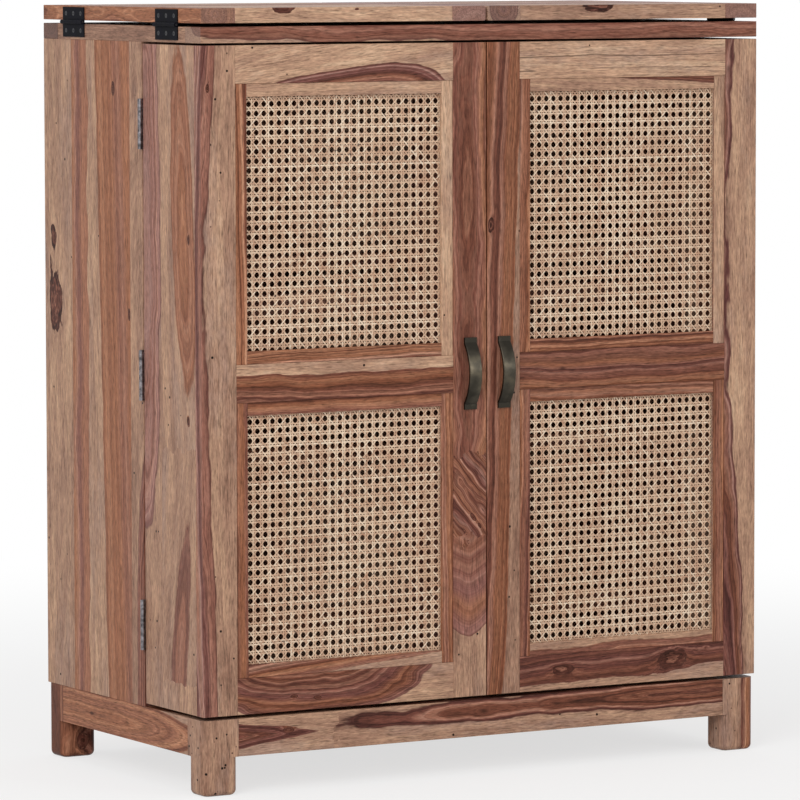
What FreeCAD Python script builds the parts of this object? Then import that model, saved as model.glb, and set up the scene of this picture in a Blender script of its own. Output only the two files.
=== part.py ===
import FreeCAD, Part
import Sketcher
import os
import re

# Bar cabinet in sheesham: a shallow body on a legged base, two deep box doors with cane fronts,
# and two top leaves that fold out sideways over the opened doors.
# Millimetres, +Z up, front towards -Y, origin on the floor under the middle of the whole object.

SIZES = {
    # Outside of the carcass, and the small chamfer on every sawn edge
    "width": 900,
    "depth": 475,
    "height": 1075,
    "edge_ease": 0.5,
    # Base: legs, rails and the floor let in between them
    "base_height": 105,
    "rail_height": 52,
    "rail_thickness": 22,
    "leg_width": 54,
    "leg_depth": 47,
    "leg_round": 12,
    "foot_round": 8,
    "floor_thickness": 20,
    # Body behind the doors
    "side_thickness": 22,
    "back_thickness": 12,
    "shelf_thickness": 20,
    "shelf_setback": 6,
    "lower_shelf_level": 330,
    "upper_shelf_level": 600,
    # Stemware rails under the bar top
    "glass_rail_pitch": 105,
    "glass_rail_setback": 40,
    "glass_spacer_width": 20,
    "glass_spacer_height": 20,
    "glass_slat_width": 68,
    "glass_slat_thickness": 8,
    # Fixed bar top
    "top_thickness": 22,
    "top_rail_width": 45,
    "top_end_width": 53,
    # Folding leaves
    "leaf_thickness": 20.5,
    "leaf_gap": 5,
    "leaf_split": 3.5,
    "leaf_stile_width": 53,
    "leaf_rail_width": 53,
    "leaf_round": 3,
    # Rest pads between the bar top and the closed leaves
    "pad_radius": 6,
    "pad_inset": 40,
    "pad_end_inset": 60,
    "pad_clearance": 0.2,
    "pad_ease": 1,
    # Box doors
    "door_depth": 170,
    "door_gap_above": 3,
    "door_gap_below": 5,
    "door_split": 2,
    "front_thickness": 20,
    "stile_width": 53,
    "door_top_rail": 52,
    "door_middle_rail": 52,
    "door_bottom_rail": 50,
    "middle_rail_level": 428,
    "bead_width": 18,
    "bead_thickness": 5,
    "bead_setback": 1.5,
    "cane_thickness": 1.6,
    "cane_trim": 1,
    "cane_bar": 12.5,
    "door_side_thickness": 20,
    "door_board_thickness": 18,
    "bottle_rail_height": 30,
    "bottle_rail_thickness": 10,
    "bottle_rail_level": 70,
    # Bow handles
    "handle_length": 100.5,
    "handle_width": 19.5,
    "handle_reach": 18,
    "handle_strap": 3.5,
    "handle_foot_length": 7,
    "handle_foot_thickness": 3,
    "handle_round": 1.2,
    # Butt hinges of the doors
    "door_hinge_length": 70,
    "door_hinge_inset": 110,
    "door_plate_width": 19,
    "door_plate_thickness": 1.4,
    "door_knuckle_radius": 3.3,
    "door_pin_radius": 1.5,
    "plate_gap": 0.4,
    # Hinges of the leaves
    "leaf_hinge_length": 65,
    "leaf_hinge_inset": 97,
    "leaf_plate_width": 21,
    "leaf_plate_thickness": 1.6,
    "leaf_knuckle_radius": 3,
    "leaf_pin_radius": 1.4,
    "pin_overhang": 1.5,
    # Fits shared by all hinges
    "knuckle_gap": 0.3,
    "barrel_clearance": 0.3,
    "pin_clearance": 0.05,
    # Countersunk wood screws and the screws of the handles
    "screw_head_radius": 3.2,
    "screw_shank_radius": 1.6,
    "screw_length": 17,
    "screw_tip_length": 4,
    "screw_tip_radius": 0.3,
    "screw_clearance": 0.05,
    "screw_line": 12,
    "screw_end_inset": 10,
    "cross_length": 3.4,
    "cross_width": 0.8,
    "cross_depth": 0.7,
    "bolt_head_radius": 4,
    "bolt_head_height": 2.2,
    "bolt_shank_radius": 2,
    "bolt_skin": 1,
    "bolt_inset": 5,
    # Magnetic catches and their strike plates
    "catch_width": 17,
    "catch_height": 30,
    "catch_depth": 14,
    "strike_thickness": 1,
    "catch_clearance": 0.4,
}

KNUCKLES = 5
CANE_COLUMNS = 12
CANE_ROWS = 12
GLASS_RAILS = 5
SCREWS_PER_PLATE = 3

# Levels and planes that several pieces share, as formulas of the sizes
HALF = "width / 2"
FRONT = "(handle_reach - depth) / 2"
BACK = "(handle_reach + depth) / 2"
LEAF_UNDER = "(height - leaf_thickness)"
TOP_FACE = f"({LEAF_UNDER} - leaf_gap)"
TOP_UNDER = f"({TOP_FACE} - top_thickness)"
DOOR_GAP_BEHIND = "(2 * door_plate_thickness + plate_gap)"
DOOR_BACK = f"({FRONT} + door_depth)"
BODY_FRONT = f"({DOOR_BACK} + {DOOR_GAP_BEHIND})"
BACK_PANEL_FACE = f"({BACK} - back_thickness)"
DOOR_LOW = "(base_height + door_gap_below)"
DOOR_HIGH = f"({TOP_UNDER} - door_gap_above)"
DOOR_INNER = "door_split / 2"
FRAME_BACK = f"({FRONT} + front_thickness)"
MIDDLE_RAIL_LOW = f"({DOOR_LOW} + middle_rail_level)"
MIDDLE_RAIL_HIGH = f"({MIDDLE_RAIL_LOW} + door_middle_rail)"
MIDDLE_LEVEL = f"({MIDDLE_RAIL_LOW} + door_middle_rail / 2)"
LEAF_INNER = "leaf_split / 2"

# Hinge axes
DOOR_AXIS_X = f"({HALF} + door_knuckle_radius + barrel_clearance)"
DOOR_AXIS_Y = f"({DOOR_BACK} + {DOOR_GAP_BEHIND} / 2)"
DOOR_HINGE_LEVELS = (
    f"({DOOR_LOW} + door_hinge_inset)",
    f"(({DOOR_LOW} + {DOOR_HIGH}) / 2)",
    f"({DOOR_HIGH} - door_hinge_inset)",
)
LEAF_AXIS_X = f"({HALF} + leaf_knuckle_radius + barrel_clearance)"
LEAF_AXIS_Z = f"({LEAF_UNDER} - leaf_gap / 2)"
LEAF_HINGE_PLACES = (f"({FRONT} + leaf_hinge_inset)", f"({BACK} - leaf_hinge_inset)")

doc = FreeCAD.newDocument("BarCabinet")
sheet = doc.addObject("Spreadsheet::Sheet", "Sizes")
for row, (alias, value) in enumerate(SIZES.items(), start=1):
    sheet.set(f"A{row}", alias)
    sheet.set(f"B{row}", str(value))
    sheet.setAlias(f"B{row}", alias)
doc.recompute()

subparts = []


def formula(text):
    """Point each size name in a formula at its cell."""
    return re.sub(r"[a-z_]+", lambda word: "Sizes." + word[0] if word[0] in SIZES else word[0], text)


def bind(item, prop, text):
    item.setExpression(prop, formula(text))


def bind_point(item, point):
    for axis, text in zip("xyz", point):
        bind(item, f"Placement.Base.{axis}", text)


def mirrored(side, near, far):
    """The span from near to far of the middle plane, on the left (-1) or the right (1)."""
    return (near, far) if side > 0 else (f"-({far})", f"-({near})")


def about(centre, length):
    """The span of a length laid evenly about a centre."""
    return (f"({centre}) - ({length}) / 2", f"({centre}) + ({length}) / 2")


def from_low(low, length):
    return (low, f"({low}) + ({length})")


def from_high(high, length):
    return (f"({high}) - ({length})", high)


def edges_where(feature, wanted):
    """Names of a feature's edges that pass a test."""
    names = []
    for number, edge in enumerate(feature.Shape.Edges, start=1):
        if wanted(edge):
            names.append(f"Edge{number}")
    return names


def runs_along(edge, axis):
    """True if an edge is straight and runs along X (0), Y (1) or Z (2)."""
    start, end = edge.Vertexes[0].Point, edge.Vertexes[-1].Point
    return edge.Curve.TypeId == "Part::GeomLine" and abs(abs(end[axis] - start[axis]) - edge.Length) < 1e-6


def block(label, x, y, z):
    """A square-edged body between three pairs of planes, with its low corner as its own origin."""
    body = doc.addObject("PartDesign::Body", label)
    blank = body.newObject("PartDesign::AdditiveBox", f"{label}_blank")
    for prop, (low, high) in zip(("Length", "Width", "Height"), (x, y, z)):
        bind(blank, prop, f"({high}) - ({low})")
    bind_point(body, (x[0], y[0], z[0]))
    return body, blank


def board(label, x, y, z, ease="edge_ease"):
    """A sawn board with all its edges eased."""
    body, blank = block(label, x, y, z)
    eased = body.newObject("PartDesign::Chamfer", f"{label}_eased")
    eased.Base = (blank, ["Edge1"])
    eased.UseAllEdges = True
    bind(eased, "Size", ease)
    return body


def node(piece):
    subparts.append(piece)
    return piece


def group(label, pieces):
    """Separate solids of one kind that share a node."""
    whole = doc.addObject("Part::Compound", label)
    whole.Links = pieces
    return node(whole)


def copy_of(master, label, point, turn):
    """A repeat of a small part, placed by formulas."""
    copy = doc.addObject("App::Link", label)
    copy.LinkedObject = master
    copy.Placement = FreeCAD.Placement(FreeCAD.Vector(), turn)
    bind_point(copy, point)
    return copy


# Base
def leg(label, side, end):
    """A leg rounded all round, but square beside the rails apart from its outer corner."""
    x = mirrored(side, f"{HALF} - leg_width", HALF)
    y = from_low(FRONT, "leg_depth") if end < 0 else from_high(BACK, "leg_depth")
    body, post = block(label, x, y, ("0", "base_height"))
    doc.recompute()
    rounded = body.newObject("PartDesign::Fillet", f"{label}_rounded")
    rounded.Base = (post, edges_where(post, lambda edge: runs_along(edge, 2)))
    bind(rounded, "Radius", "leg_round")
    doc.recompute()
    foot = body.newObject("PartDesign::Fillet", f"{label}_foot")
    foot.Base = (rounded, edges_where(rounded, lambda edge: edge.BoundBox.ZMax < 1e-6))
    bind(foot, "Radius", "foot_round")
    past_x = "0" if side > 0 else "leg_round"
    past_y = "0" if end > 0 else "leg_round"
    cheeks = (
        ("leg_width - leg_round", "leg_depth", (past_x, "0", "base_height - rail_height")),
        ("leg_width", "leg_depth - leg_round", ("0", past_y, "base_height - rail_height")),
    )
    for number, (length, width, corner) in enumerate(cheeks):
        cheek = body.newObject("PartDesign::AdditiveBox", f"{label}_cheek_{number}")
        bind(cheek, "Length", length)
        bind(cheek, "Width", width)
        bind(cheek, "Height", "rail_height")
        bind_point(cheek, corner)
    return node(body)


SIDES = (("left", -1), ("right", 1))

for end_name, end in (("front", -1), ("back", 1)):
    for side_name, side in SIDES:
        leg(f"leg_{end_name}_{side_name}", side, end)

rail_z = from_high("base_height", "rail_height")
between_legs_x = (f"leg_width - {HALF}", f"{HALF} - leg_width")
between_legs_y = (f"{FRONT} + leg_depth", f"{BACK} - leg_depth")
node(board("base_rail_front", between_legs_x, from_low(FRONT, "rail_thickness"), rail_z))
node(board("base_rail_back", between_legs_x, from_high(BACK, "rail_thickness"), rail_z))
for side_name, side in SIDES:
    rail_x = mirrored(side, f"{HALF} - rail_thickness", HALF)
    node(board(f"base_rail_{side_name}", rail_x, between_legs_y, rail_z))


def floor_panel():
    """The floor lies flush inside the rails, notched round the four legs."""
    x = (f"rail_thickness - {HALF}", f"{HALF} - rail_thickness")
    y = (f"{FRONT} + rail_thickness", f"{BACK} - rail_thickness")
    body, blank = block("floor_panel", x, y, from_high("base_height", "floor_thickness"))
    notch_x = "leg_width - rail_thickness"
    notch_y = "leg_depth - rail_thickness"
    for column, far_x in enumerate(("0", f"width - 2 * rail_thickness - ({notch_x})")):
        for line, far_y in enumerate(("0", f"depth - 2 * rail_thickness - ({notch_y})")):
            notch = body.newObject("PartDesign::SubtractiveBox", f"floor_notch_{column}{line}")
            bind(notch, "Length", notch_x)
            bind(notch, "Width", notch_y)
            bind(notch, "Height", "floor_thickness")
            bind_point(notch, (far_x, far_y, "0"))
    return node(body)


floor_panel()

# Body
between_sides = (f"side_thickness - {HALF}", f"{HALF} - side_thickness")
body_z = ("base_height", TOP_UNDER)
for side_name, side in SIDES:
    side_x = mirrored(side, f"{HALF} - side_thickness", HALF)
    node(board(f"side_panel_{side_name}", side_x, (BODY_FRONT, BACK), body_z))
node(board("back_panel", between_sides, (BACK_PANEL_FACE, BACK), body_z))

shelf_y = (f"{BODY_FRONT} + shelf_setback", BACK_PANEL_FACE)
shelves = []
for level in ("lower_shelf_level", "upper_shelf_level"):
    shelf_z = from_low(f"base_height + {level}", "shelf_thickness")
    shelves.append(board(f"inner_{level}", between_sides, shelf_y, shelf_z))
group("inner_shelves", shelves)

# Stemware rails: a slat under a spacer, so that a glass hangs by its foot between two rails
glass_y = (f"{BODY_FRONT} + glass_rail_setback", BACK_PANEL_FACE)
spacer_z = from_high(TOP_UNDER, "glass_spacer_height")
slat_z = from_high(f"{TOP_UNDER} - glass_spacer_height", "glass_slat_thickness")
glass_rails = []
for number in range(GLASS_RAILS):
    centre = f"glass_rail_pitch * {number - (GLASS_RAILS - 1) / 2}"
    spacer_x = about(centre, "glass_spacer_width")
    slat_x = about(centre, "glass_slat_width")
    glass_rails.append(board(f"glass_spacer_{number}", spacer_x, glass_y, spacer_z))
    glass_rails.append(board(f"glass_slat_{number}", slat_x, glass_y, slat_z))
group("glass_rails", glass_rails)

# Fixed bar top: the front and back rails run through, the ends and the panel lie between them
top_z = (TOP_UNDER, TOP_FACE)
whole_x = (f"-{HALF}", HALF)
between_rails_y = (f"{FRONT} + top_rail_width", f"{BACK} - top_rail_width")
between_ends_x = (f"top_end_width - {HALF}", f"{HALF} - top_end_width")
node(board("bar_top_panel", between_ends_x, between_rails_y, top_z))
top_frame = [
    board("bar_top_front", whole_x, from_low(FRONT, "top_rail_width"), top_z),
    board("bar_top_back", whole_x, from_high(BACK, "top_rail_width"), top_z),
]
for side_name, side in SIDES:
    end_x = mirrored(side, f"{HALF} - top_end_width", HALF)
    top_frame.append(board(f"bar_top_end_{side_name}", end_x, between_rails_y, top_z))
group("bar_top_frame", top_frame)


def rest_pad(label, x, y):
    """A turned rubber button on the bar top that the closed leaf lies on."""
    body = doc.addObject("PartDesign::Body", label)
    button = body.newObject("PartDesign::AdditiveCylinder", f"{label}_button")
    bind(button, "Radius", "pad_radius")
    bind(button, "Height", "leaf_gap - pad_clearance")
    doc.recompute()
    top = button.Shape.BoundBox.ZMax
    eased = body.newObject("PartDesign::Chamfer", f"{label}_eased")
    eased.Base = (button, edges_where(button, lambda edge: edge.BoundBox.ZMin > top - 1e-6))
    bind(eased, "Size", "pad_ease")
    bind_point(body, (x, y, TOP_FACE))
    return body


pads = []
for side_name, side in SIDES:
    for end_name, y in (("front", f"{FRONT} + pad_end_inset"), ("back", f"{BACK} - pad_end_inset")):
        pads.append(rest_pad(f"pad_{end_name}_{side_name}", f"{side} * pad_inset", y))
group("leaf_rest_pads", pads)

# Small parts that repeat: hinge halves, pins and screws, made once at the origin
UP = FreeCAD.Vector(0, 0, 1)
ALONG_Y = FreeCAD.Rotation(UP, FreeCAD.Vector(0, 1, 0))


def screw_places(length):
    """Places along a hinge plate, counted from its middle."""
    steps = SCREWS_PER_PLATE - 1
    return [f"(({length}) - 2 * screw_end_inset) * {step / steps - 0.5}" for step in range(SCREWS_PER_PLATE)]


def barrel(label, radius, low, length):
    tube = doc.addObject("Part::Cylinder", label)
    bind(tube, "Radius", radius)
    bind(tube, "Height", length)
    bind(tube, "Placement.Base.z", low)
    return tube


def hinge_half(label, kind, offset, own):
    """Half a hinge: the axis is Z, the plate reaches along X and its wood lies towards +Y."""
    length = f"{kind}_hinge_length"
    thickness = f"{kind}_plate_thickness"
    radius = f"{kind}_knuckle_radius"
    pitch = f"{length} / {KNUCKLES}"
    plate = doc.addObject("Part::Box", f"{label}_plate")
    bind(plate, "Length", f"{kind}_plate_width")
    bind(plate, "Width", thickness)
    bind(plate, "Height", length)
    bind_point(plate, ("0", offset, f"-{length} / 2"))
    solid, cuts = [plate], []
    for number in range(KNUCKLES):
        start = f"{pitch} * {number} - {length} / 2"
        if number in own:
            low = f"{start} + knuckle_gap / 2"
            solid.append(barrel(f"{label}_knuckle_{number}", radius, low, f"{pitch} - knuckle_gap"))
        else:
            low = f"{start} - knuckle_gap / 2"
            room = f"{radius} + barrel_clearance"
            cuts.append(barrel(f"{label}_room_{number}", room, low, f"{pitch} + knuckle_gap"))
    cuts.append(barrel(f"{label}_bore", f"{kind}_pin_radius + pin_clearance", f"-{length} / 2", length))
    for number, place in enumerate(screw_places(length)):
        sink = doc.addObject("Part::Cone", f"{label}_sink_{number}")
        bind(sink, "Radius1", "screw_head_radius + screw_clearance")
        bind(sink, "Radius2", "screw_shank_radius + screw_clearance")
        bind(sink, "Height", thickness)
        sink.Placement = FreeCAD.Placement(FreeCAD.Vector(), ALONG_Y)
        bind_point(sink, ("screw_line", offset, place))
        cuts.append(sink)
    joined = doc.addObject("Part::MultiFuse", f"{label}_joined")
    joined.Shapes = solid
    removed = doc.addObject("Part::MultiFuse", f"{label}_removed")
    removed.Shapes = cuts
    half = doc.addObject("Part::Cut", label)
    half.Base = joined
    half.Tool = removed
    return half


def wood_screw(label, head_height):
    """A countersunk screw with a cross recess: head at the origin, point along +Z."""
    body = doc.addObject("PartDesign::Body", label)
    head = body.newObject("PartDesign::AdditiveCone", f"{label}_head")
    bind(head, "Radius1", "screw_head_radius")
    bind(head, "Radius2", "screw_shank_radius")
    bind(head, "Height", head_height)
    shank = body.newObject("PartDesign::AdditiveCylinder", f"{label}_shank")
    bind(shank, "Radius", "screw_shank_radius")
    bind(shank, "Height", f"screw_length - screw_tip_length - {head_height}")
    bind(shank, "Placement.Base.z", head_height)
    tip = body.newObject("PartDesign::AdditiveCone", f"{label}_tip")
    bind(tip, "Radius1", "screw_shank_radius")
    bind(tip, "Radius2", "screw_tip_radius")
    bind(tip, "Height", "screw_tip_length")
    bind(tip, "Placement.Base.z", "screw_length - screw_tip_length")
    bars = (("cross_length", "cross_width"), ("cross_width", "cross_length"))
    for number, (length, width) in enumerate(bars):
        slot = body.newObject("PartDesign::SubtractiveBox", f"{label}_slot_{number}")
        bind(slot, "Length", length)
        bind(slot, "Width", width)
        bind(slot, "Height", "cross_depth")
        bind_point(slot, (f"-{length} / 2", f"-{width} / 2", "0"))
    return body


def handle_bolt():
    """A pan-head screw from inside a door into a handle's foot: its point lies along +Z."""
    body = doc.addObject("PartDesign::Body", "handle_bolt")
    head = body.newObject("PartDesign::AdditiveCylinder", "bolt_head")
    bind(head, "Radius", "bolt_head_radius")
    bind(head, "Height", "bolt_head_height")
    bind(head, "Placement.Base.z", "-bolt_head_height")
    shank = body.newObject("PartDesign::AdditiveCylinder", "bolt_shank")
    bind(shank, "Radius", "bolt_shank_radius")
    bind(shank, "Height", "front_thickness + handle_foot_thickness - bolt_skin")
    return body


DOOR_PLATE_OFFSET = "plate_gap / 2"
LEAF_PLATE_OFFSET = "(leaf_knuckle_radius + barrel_clearance - leaf_plate_thickness)"
FIXED_KNUCKLES = (1, 3)
MOVING_KNUCKLES = (0, 2, 4)
door_half_fixed = hinge_half("door_half_fixed", "door", DOOR_PLATE_OFFSET, FIXED_KNUCKLES)
door_half_moving = hinge_half("door_half_moving", "door", DOOR_PLATE_OFFSET, MOVING_KNUCKLES)
leaf_half_fixed = hinge_half("leaf_half_fixed", "leaf", LEAF_PLATE_OFFSET, FIXED_KNUCKLES)
leaf_half_moving = hinge_half("leaf_half_moving", "leaf", LEAF_PLATE_OFFSET, MOVING_KNUCKLES)
door_pin = barrel("door_pin", "door_pin_radius", "0", "door_hinge_length")
leaf_pin = barrel("leaf_pin", "leaf_pin_radius", "0", "leaf_hinge_length + 2 * pin_overhang")
door_screw = wood_screw("door_screw", "door_plate_thickness")
leaf_screw = wood_screw("leaf_screw", "leaf_plate_thickness")
bolt = handle_bolt()


def hinge_set(label, kind, half, screw, offset, axis_point, reach, wood):
    """One half hinge and its screws, with the plate along reach and the wood towards wood."""
    axis = reach.cross(wood)
    plate = copy_of(half, label, axis_point, FreeCAD.Rotation(reach, wood, axis, "XYZ"))
    screws = []
    for number, place in enumerate(screw_places(f"{kind}_hinge_length")):
        point = []
        for base, along, into, down in zip(axis_point, reach, wood, axis):
            point.append(f"{base} + {along} * screw_line + {into} * {offset} + {down} * ({place})")
        screws.append(copy_of(screw, f"{label}_screw_{number}", point, FreeCAD.Rotation(UP, wood)))
    return plate, screws


body_plates, top_plates, pins, cabinet_screws = [], [], [], []
door_plates = {name: [] for name, side in SIDES}
door_screws = {name: [] for name, side in SIDES}
leaf_plates = {name: [] for name, side in SIDES}
leaf_screws = {name: [] for name, side in SIDES}
for side_name, side in SIDES:
    inward = FreeCAD.Vector(-side, 0, 0)
    backward = FreeCAD.Vector(0, 1, 0)
    for number, level in enumerate(DOOR_HINGE_LEVELS):
        name = f"door_hinge_{side_name}_{number}"
        point = (f"{side} * {DOOR_AXIS_X}", DOOR_AXIS_Y, level)
        plate, screws = hinge_set(f"{name}_fixed", "door", door_half_fixed, door_screw, DOOR_PLATE_OFFSET,
                                  point, inward, backward)
        body_plates.append(plate)
        cabinet_screws += screws
        plate, screws = hinge_set(f"{name}_moving", "door", door_half_moving, door_screw, DOOR_PLATE_OFFSET,
                                  point, inward, -backward)
        door_plates[side_name].append(plate)
        door_screws[side_name] += screws
        pin_start = (point[0], point[1], f"{level} - door_hinge_length / 2")
        pins.append(copy_of(door_pin, f"{name}_pin", pin_start, FreeCAD.Rotation()))
    for number, y in enumerate(LEAF_HINGE_PLACES):
        name = f"leaf_hinge_{side_name}_{number}"
        point = (f"{side} * {LEAF_AXIS_X}", y, LEAF_AXIS_Z)
        plate, screws = hinge_set(f"{name}_fixed", "leaf", leaf_half_fixed, leaf_screw, LEAF_PLATE_OFFSET,
                                  point, -UP, inward)
        top_plates.append(plate)
        cabinet_screws += screws
        plate, screws = hinge_set(f"{name}_moving", "leaf", leaf_half_moving, leaf_screw, LEAF_PLATE_OFFSET,
                                  point, UP, inward)
        leaf_plates[side_name].append(plate)
        leaf_screws[side_name] += screws
        pin_start = (point[0], f"{y} - leaf_hinge_length / 2 - pin_overhang", point[2])
        pins.append(copy_of(leaf_pin, f"{name}_pin", pin_start, ALONG_Y))
group("door_hinge_body_plates", body_plates)
group("leaf_hinge_top_plates", top_plates)
group("hinge_pins", pins)
group("cabinet_screws", cabinet_screws)

# Magnetic catches under the bar top, just behind the doors' strike plates
catch_z = from_high(TOP_UNDER, "catch_height")
strike_y = from_low(DOOR_BACK, "strike_thickness")
catch_y = from_low(f"{DOOR_BACK} + strike_thickness + catch_clearance", "catch_depth")
strike_z = from_high(DOOR_HIGH, "catch_height")
catches = []
for side_name, side in SIDES:
    catch_x = mirrored(side, *about(f"{DOOR_INNER} + door_side_thickness / 2", "catch_width"))
    catches.append(board(f"catch_{side_name}", catch_x, catch_y, catch_z))
group("door_catches", catches)


# Doors
def bow_outline(profile):
    """Draw a bow handle from the side, tie it to the sizes and give the radius of its outside."""
    end = sheet.handle_length / 2
    foot = sheet.handle_foot_thickness
    shoulder = end - sheet.handle_foot_length
    rise = sheet.handle_reach - foot
    outer_radius = (shoulder ** 2 + rise ** 2) / (2 * rise)
    inner_radius = outer_radius - sheet.handle_strap
    heel = (inner_radius ** 2 - (outer_radius - sheet.handle_reach) ** 2) ** 0.5
    upper = [(0, heel), (0, end), (-foot, end), (-foot, shoulder)]
    lower = [(x, -y) for x, y in reversed(upper)]
    corners = [FreeCAD.Vector(x, y, 0) for x, y in upper + lower]
    crowns = {3: -sheet.handle_reach, 7: sheet.handle_strap - sheet.handle_reach}
    for number, corner in enumerate(corners):
        following = corners[(number + 1) % len(corners)]
        if number in crowns:
            curve = Part.Arc(corner, FreeCAD.Vector(crowns[number], 0, 0), following)
        else:
            curve = Part.LineSegment(corner, following)
        profile.addGeometry(curve, False)

    def constrain(*values):
        return profile.addConstraint(Sketcher.Constraint(*values))

    def end_at(geometry, corner):
        return 1 if profile.getPoint(geometry, 1).distanceToPoint(corner) < 1e-6 else 2

    def corner_of(number):
        return number, end_at(number, corners[number])

    for number, corner in enumerate(corners):
        before = (number - 1) % len(corners)
        constrain("Coincident", before, end_at(before, corner), *corner_of(number))
    for upright in (0, 2, 4, 6):
        constrain("Vertical", upright)
    for level in (1, 5):
        constrain("Horizontal", level)
    across, upright, centre = -1, -2, 3
    constrain("Coincident", 3, centre, 7, centre)
    constrain("PointOnObject", *corner_of(0), upright)
    constrain("Symmetric", *corner_of(1), *corner_of(6), across)
    constrain("Symmetric", *corner_of(3), *corner_of(4), across)
    shoulder_text = "(handle_length / 2 - handle_foot_length)"
    rise_text = "(handle_reach - handle_foot_thickness)"
    radius_text = f"({shoulder_text} ^ 2 + {rise_text} ^ 2) / (2 * {rise_text})"
    drives = (
        ("length", ("DistanceY", *corner_of(6), *corner_of(1)), 2 * end, "handle_length"),
        ("foot_thickness", ("DistanceX", *corner_of(2), *corner_of(1)), foot, "handle_foot_thickness"),
        ("foot_length", ("DistanceY", *corner_of(3), *corner_of(2)), end - shoulder, "handle_foot_length"),
        ("outer_radius", ("Radius", 3), outer_radius, radius_text),
        ("inner_radius", ("Radius", 7), inner_radius, f"{radius_text} - handle_strap"),
    )
    for name, place, value, text in drives:
        profile.renameConstraint(constrain(*place, value), name)
        bind(profile, f"Constraints.{name}", text)
    return outer_radius


def handle(label, x):
    """A cast bow handle: two flat feet and an arched strap between them."""
    body = doc.addObject("PartDesign::Body", label)
    profile = body.newObject("Sketcher::SketchObject", f"{label}_profile")
    side_plane = next(plane for plane in body.Origin.OriginFeatures if plane.Role == "YZ_Plane")
    profile.AttachmentSupport = (side_plane, "")
    profile.MapMode = "FlatFace"
    radius = bow_outline(profile)
    strap = body.newObject("PartDesign::Pad", f"{label}_strap")
    strap.Profile = profile
    strap.SideType = "Symmetric"
    bind(strap, "Length", "handle_width")
    doc.recompute()
    half_width = sheet.handle_width / 2

    def on_outer_rim(edge):
        at_side = abs(abs(edge.CenterOfMass.x) - half_width) < 1e-6
        round_edge = edge.Curve.TypeId == "Part::GeomCircle"
        return at_side and round_edge and abs(edge.Curve.Radius - radius) < 1e-3

    softened = body.newObject("PartDesign::Fillet", f"{label}_softened")
    softened.Base = (strap, edges_where(strap, on_outer_rim))
    bind(softened, "Radius", "handle_round")
    bind_point(body, (x, FRONT, MIDDLE_LEVEL))
    return node(body)


def cane_sheet(label, x, y, z):
    """A sheet of cane: between its beads, a coarse grid of openings stands for the weave."""
    body, blank = block(label, x, y, z)
    covered = "(bead_width - cane_trim)"
    pitches = []
    for (low, high), count in ((x, CANE_COLUMNS), (z, CANE_ROWS)):
        pitches.append(f"((({high}) - ({low}) - 2 * {covered}) / {count})")
    opening = body.newObject("PartDesign::SubtractiveBox", f"{label}_opening")
    bind(opening, "Length", f"{pitches[0]} - cane_bar")
    bind(opening, "Width", "cane_thickness")
    bind(opening, "Height", f"{pitches[1]} - cane_bar")
    corner = f"{covered} + cane_bar / 2"
    bind_point(opening, (corner, "0", corner))
    weave = body.newObject("PartDesign::LinearPattern", f"{label}_weave")
    weave.Originals = [opening]
    axes = {feature.Role: feature for feature in body.Origin.OriginFeatures}
    weave.Direction = (axes["X_Axis"], [""])
    weave.Direction2 = (axes["Z_Axis"], [""])
    weave.Mode = "Spacing"
    weave.Mode2 = "Spacing"
    weave.Occurrences = CANE_COLUMNS
    weave.Occurrences2 = CANE_ROWS
    # -1 gives every row the common spacing
    weave.Spacings2 = [-1] * (CANE_ROWS - 1)
    bind(weave, "Offset", pitches[0])
    bind(weave, "Offset2", pitches[1])
    body.Tip = weave
    return body


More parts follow.
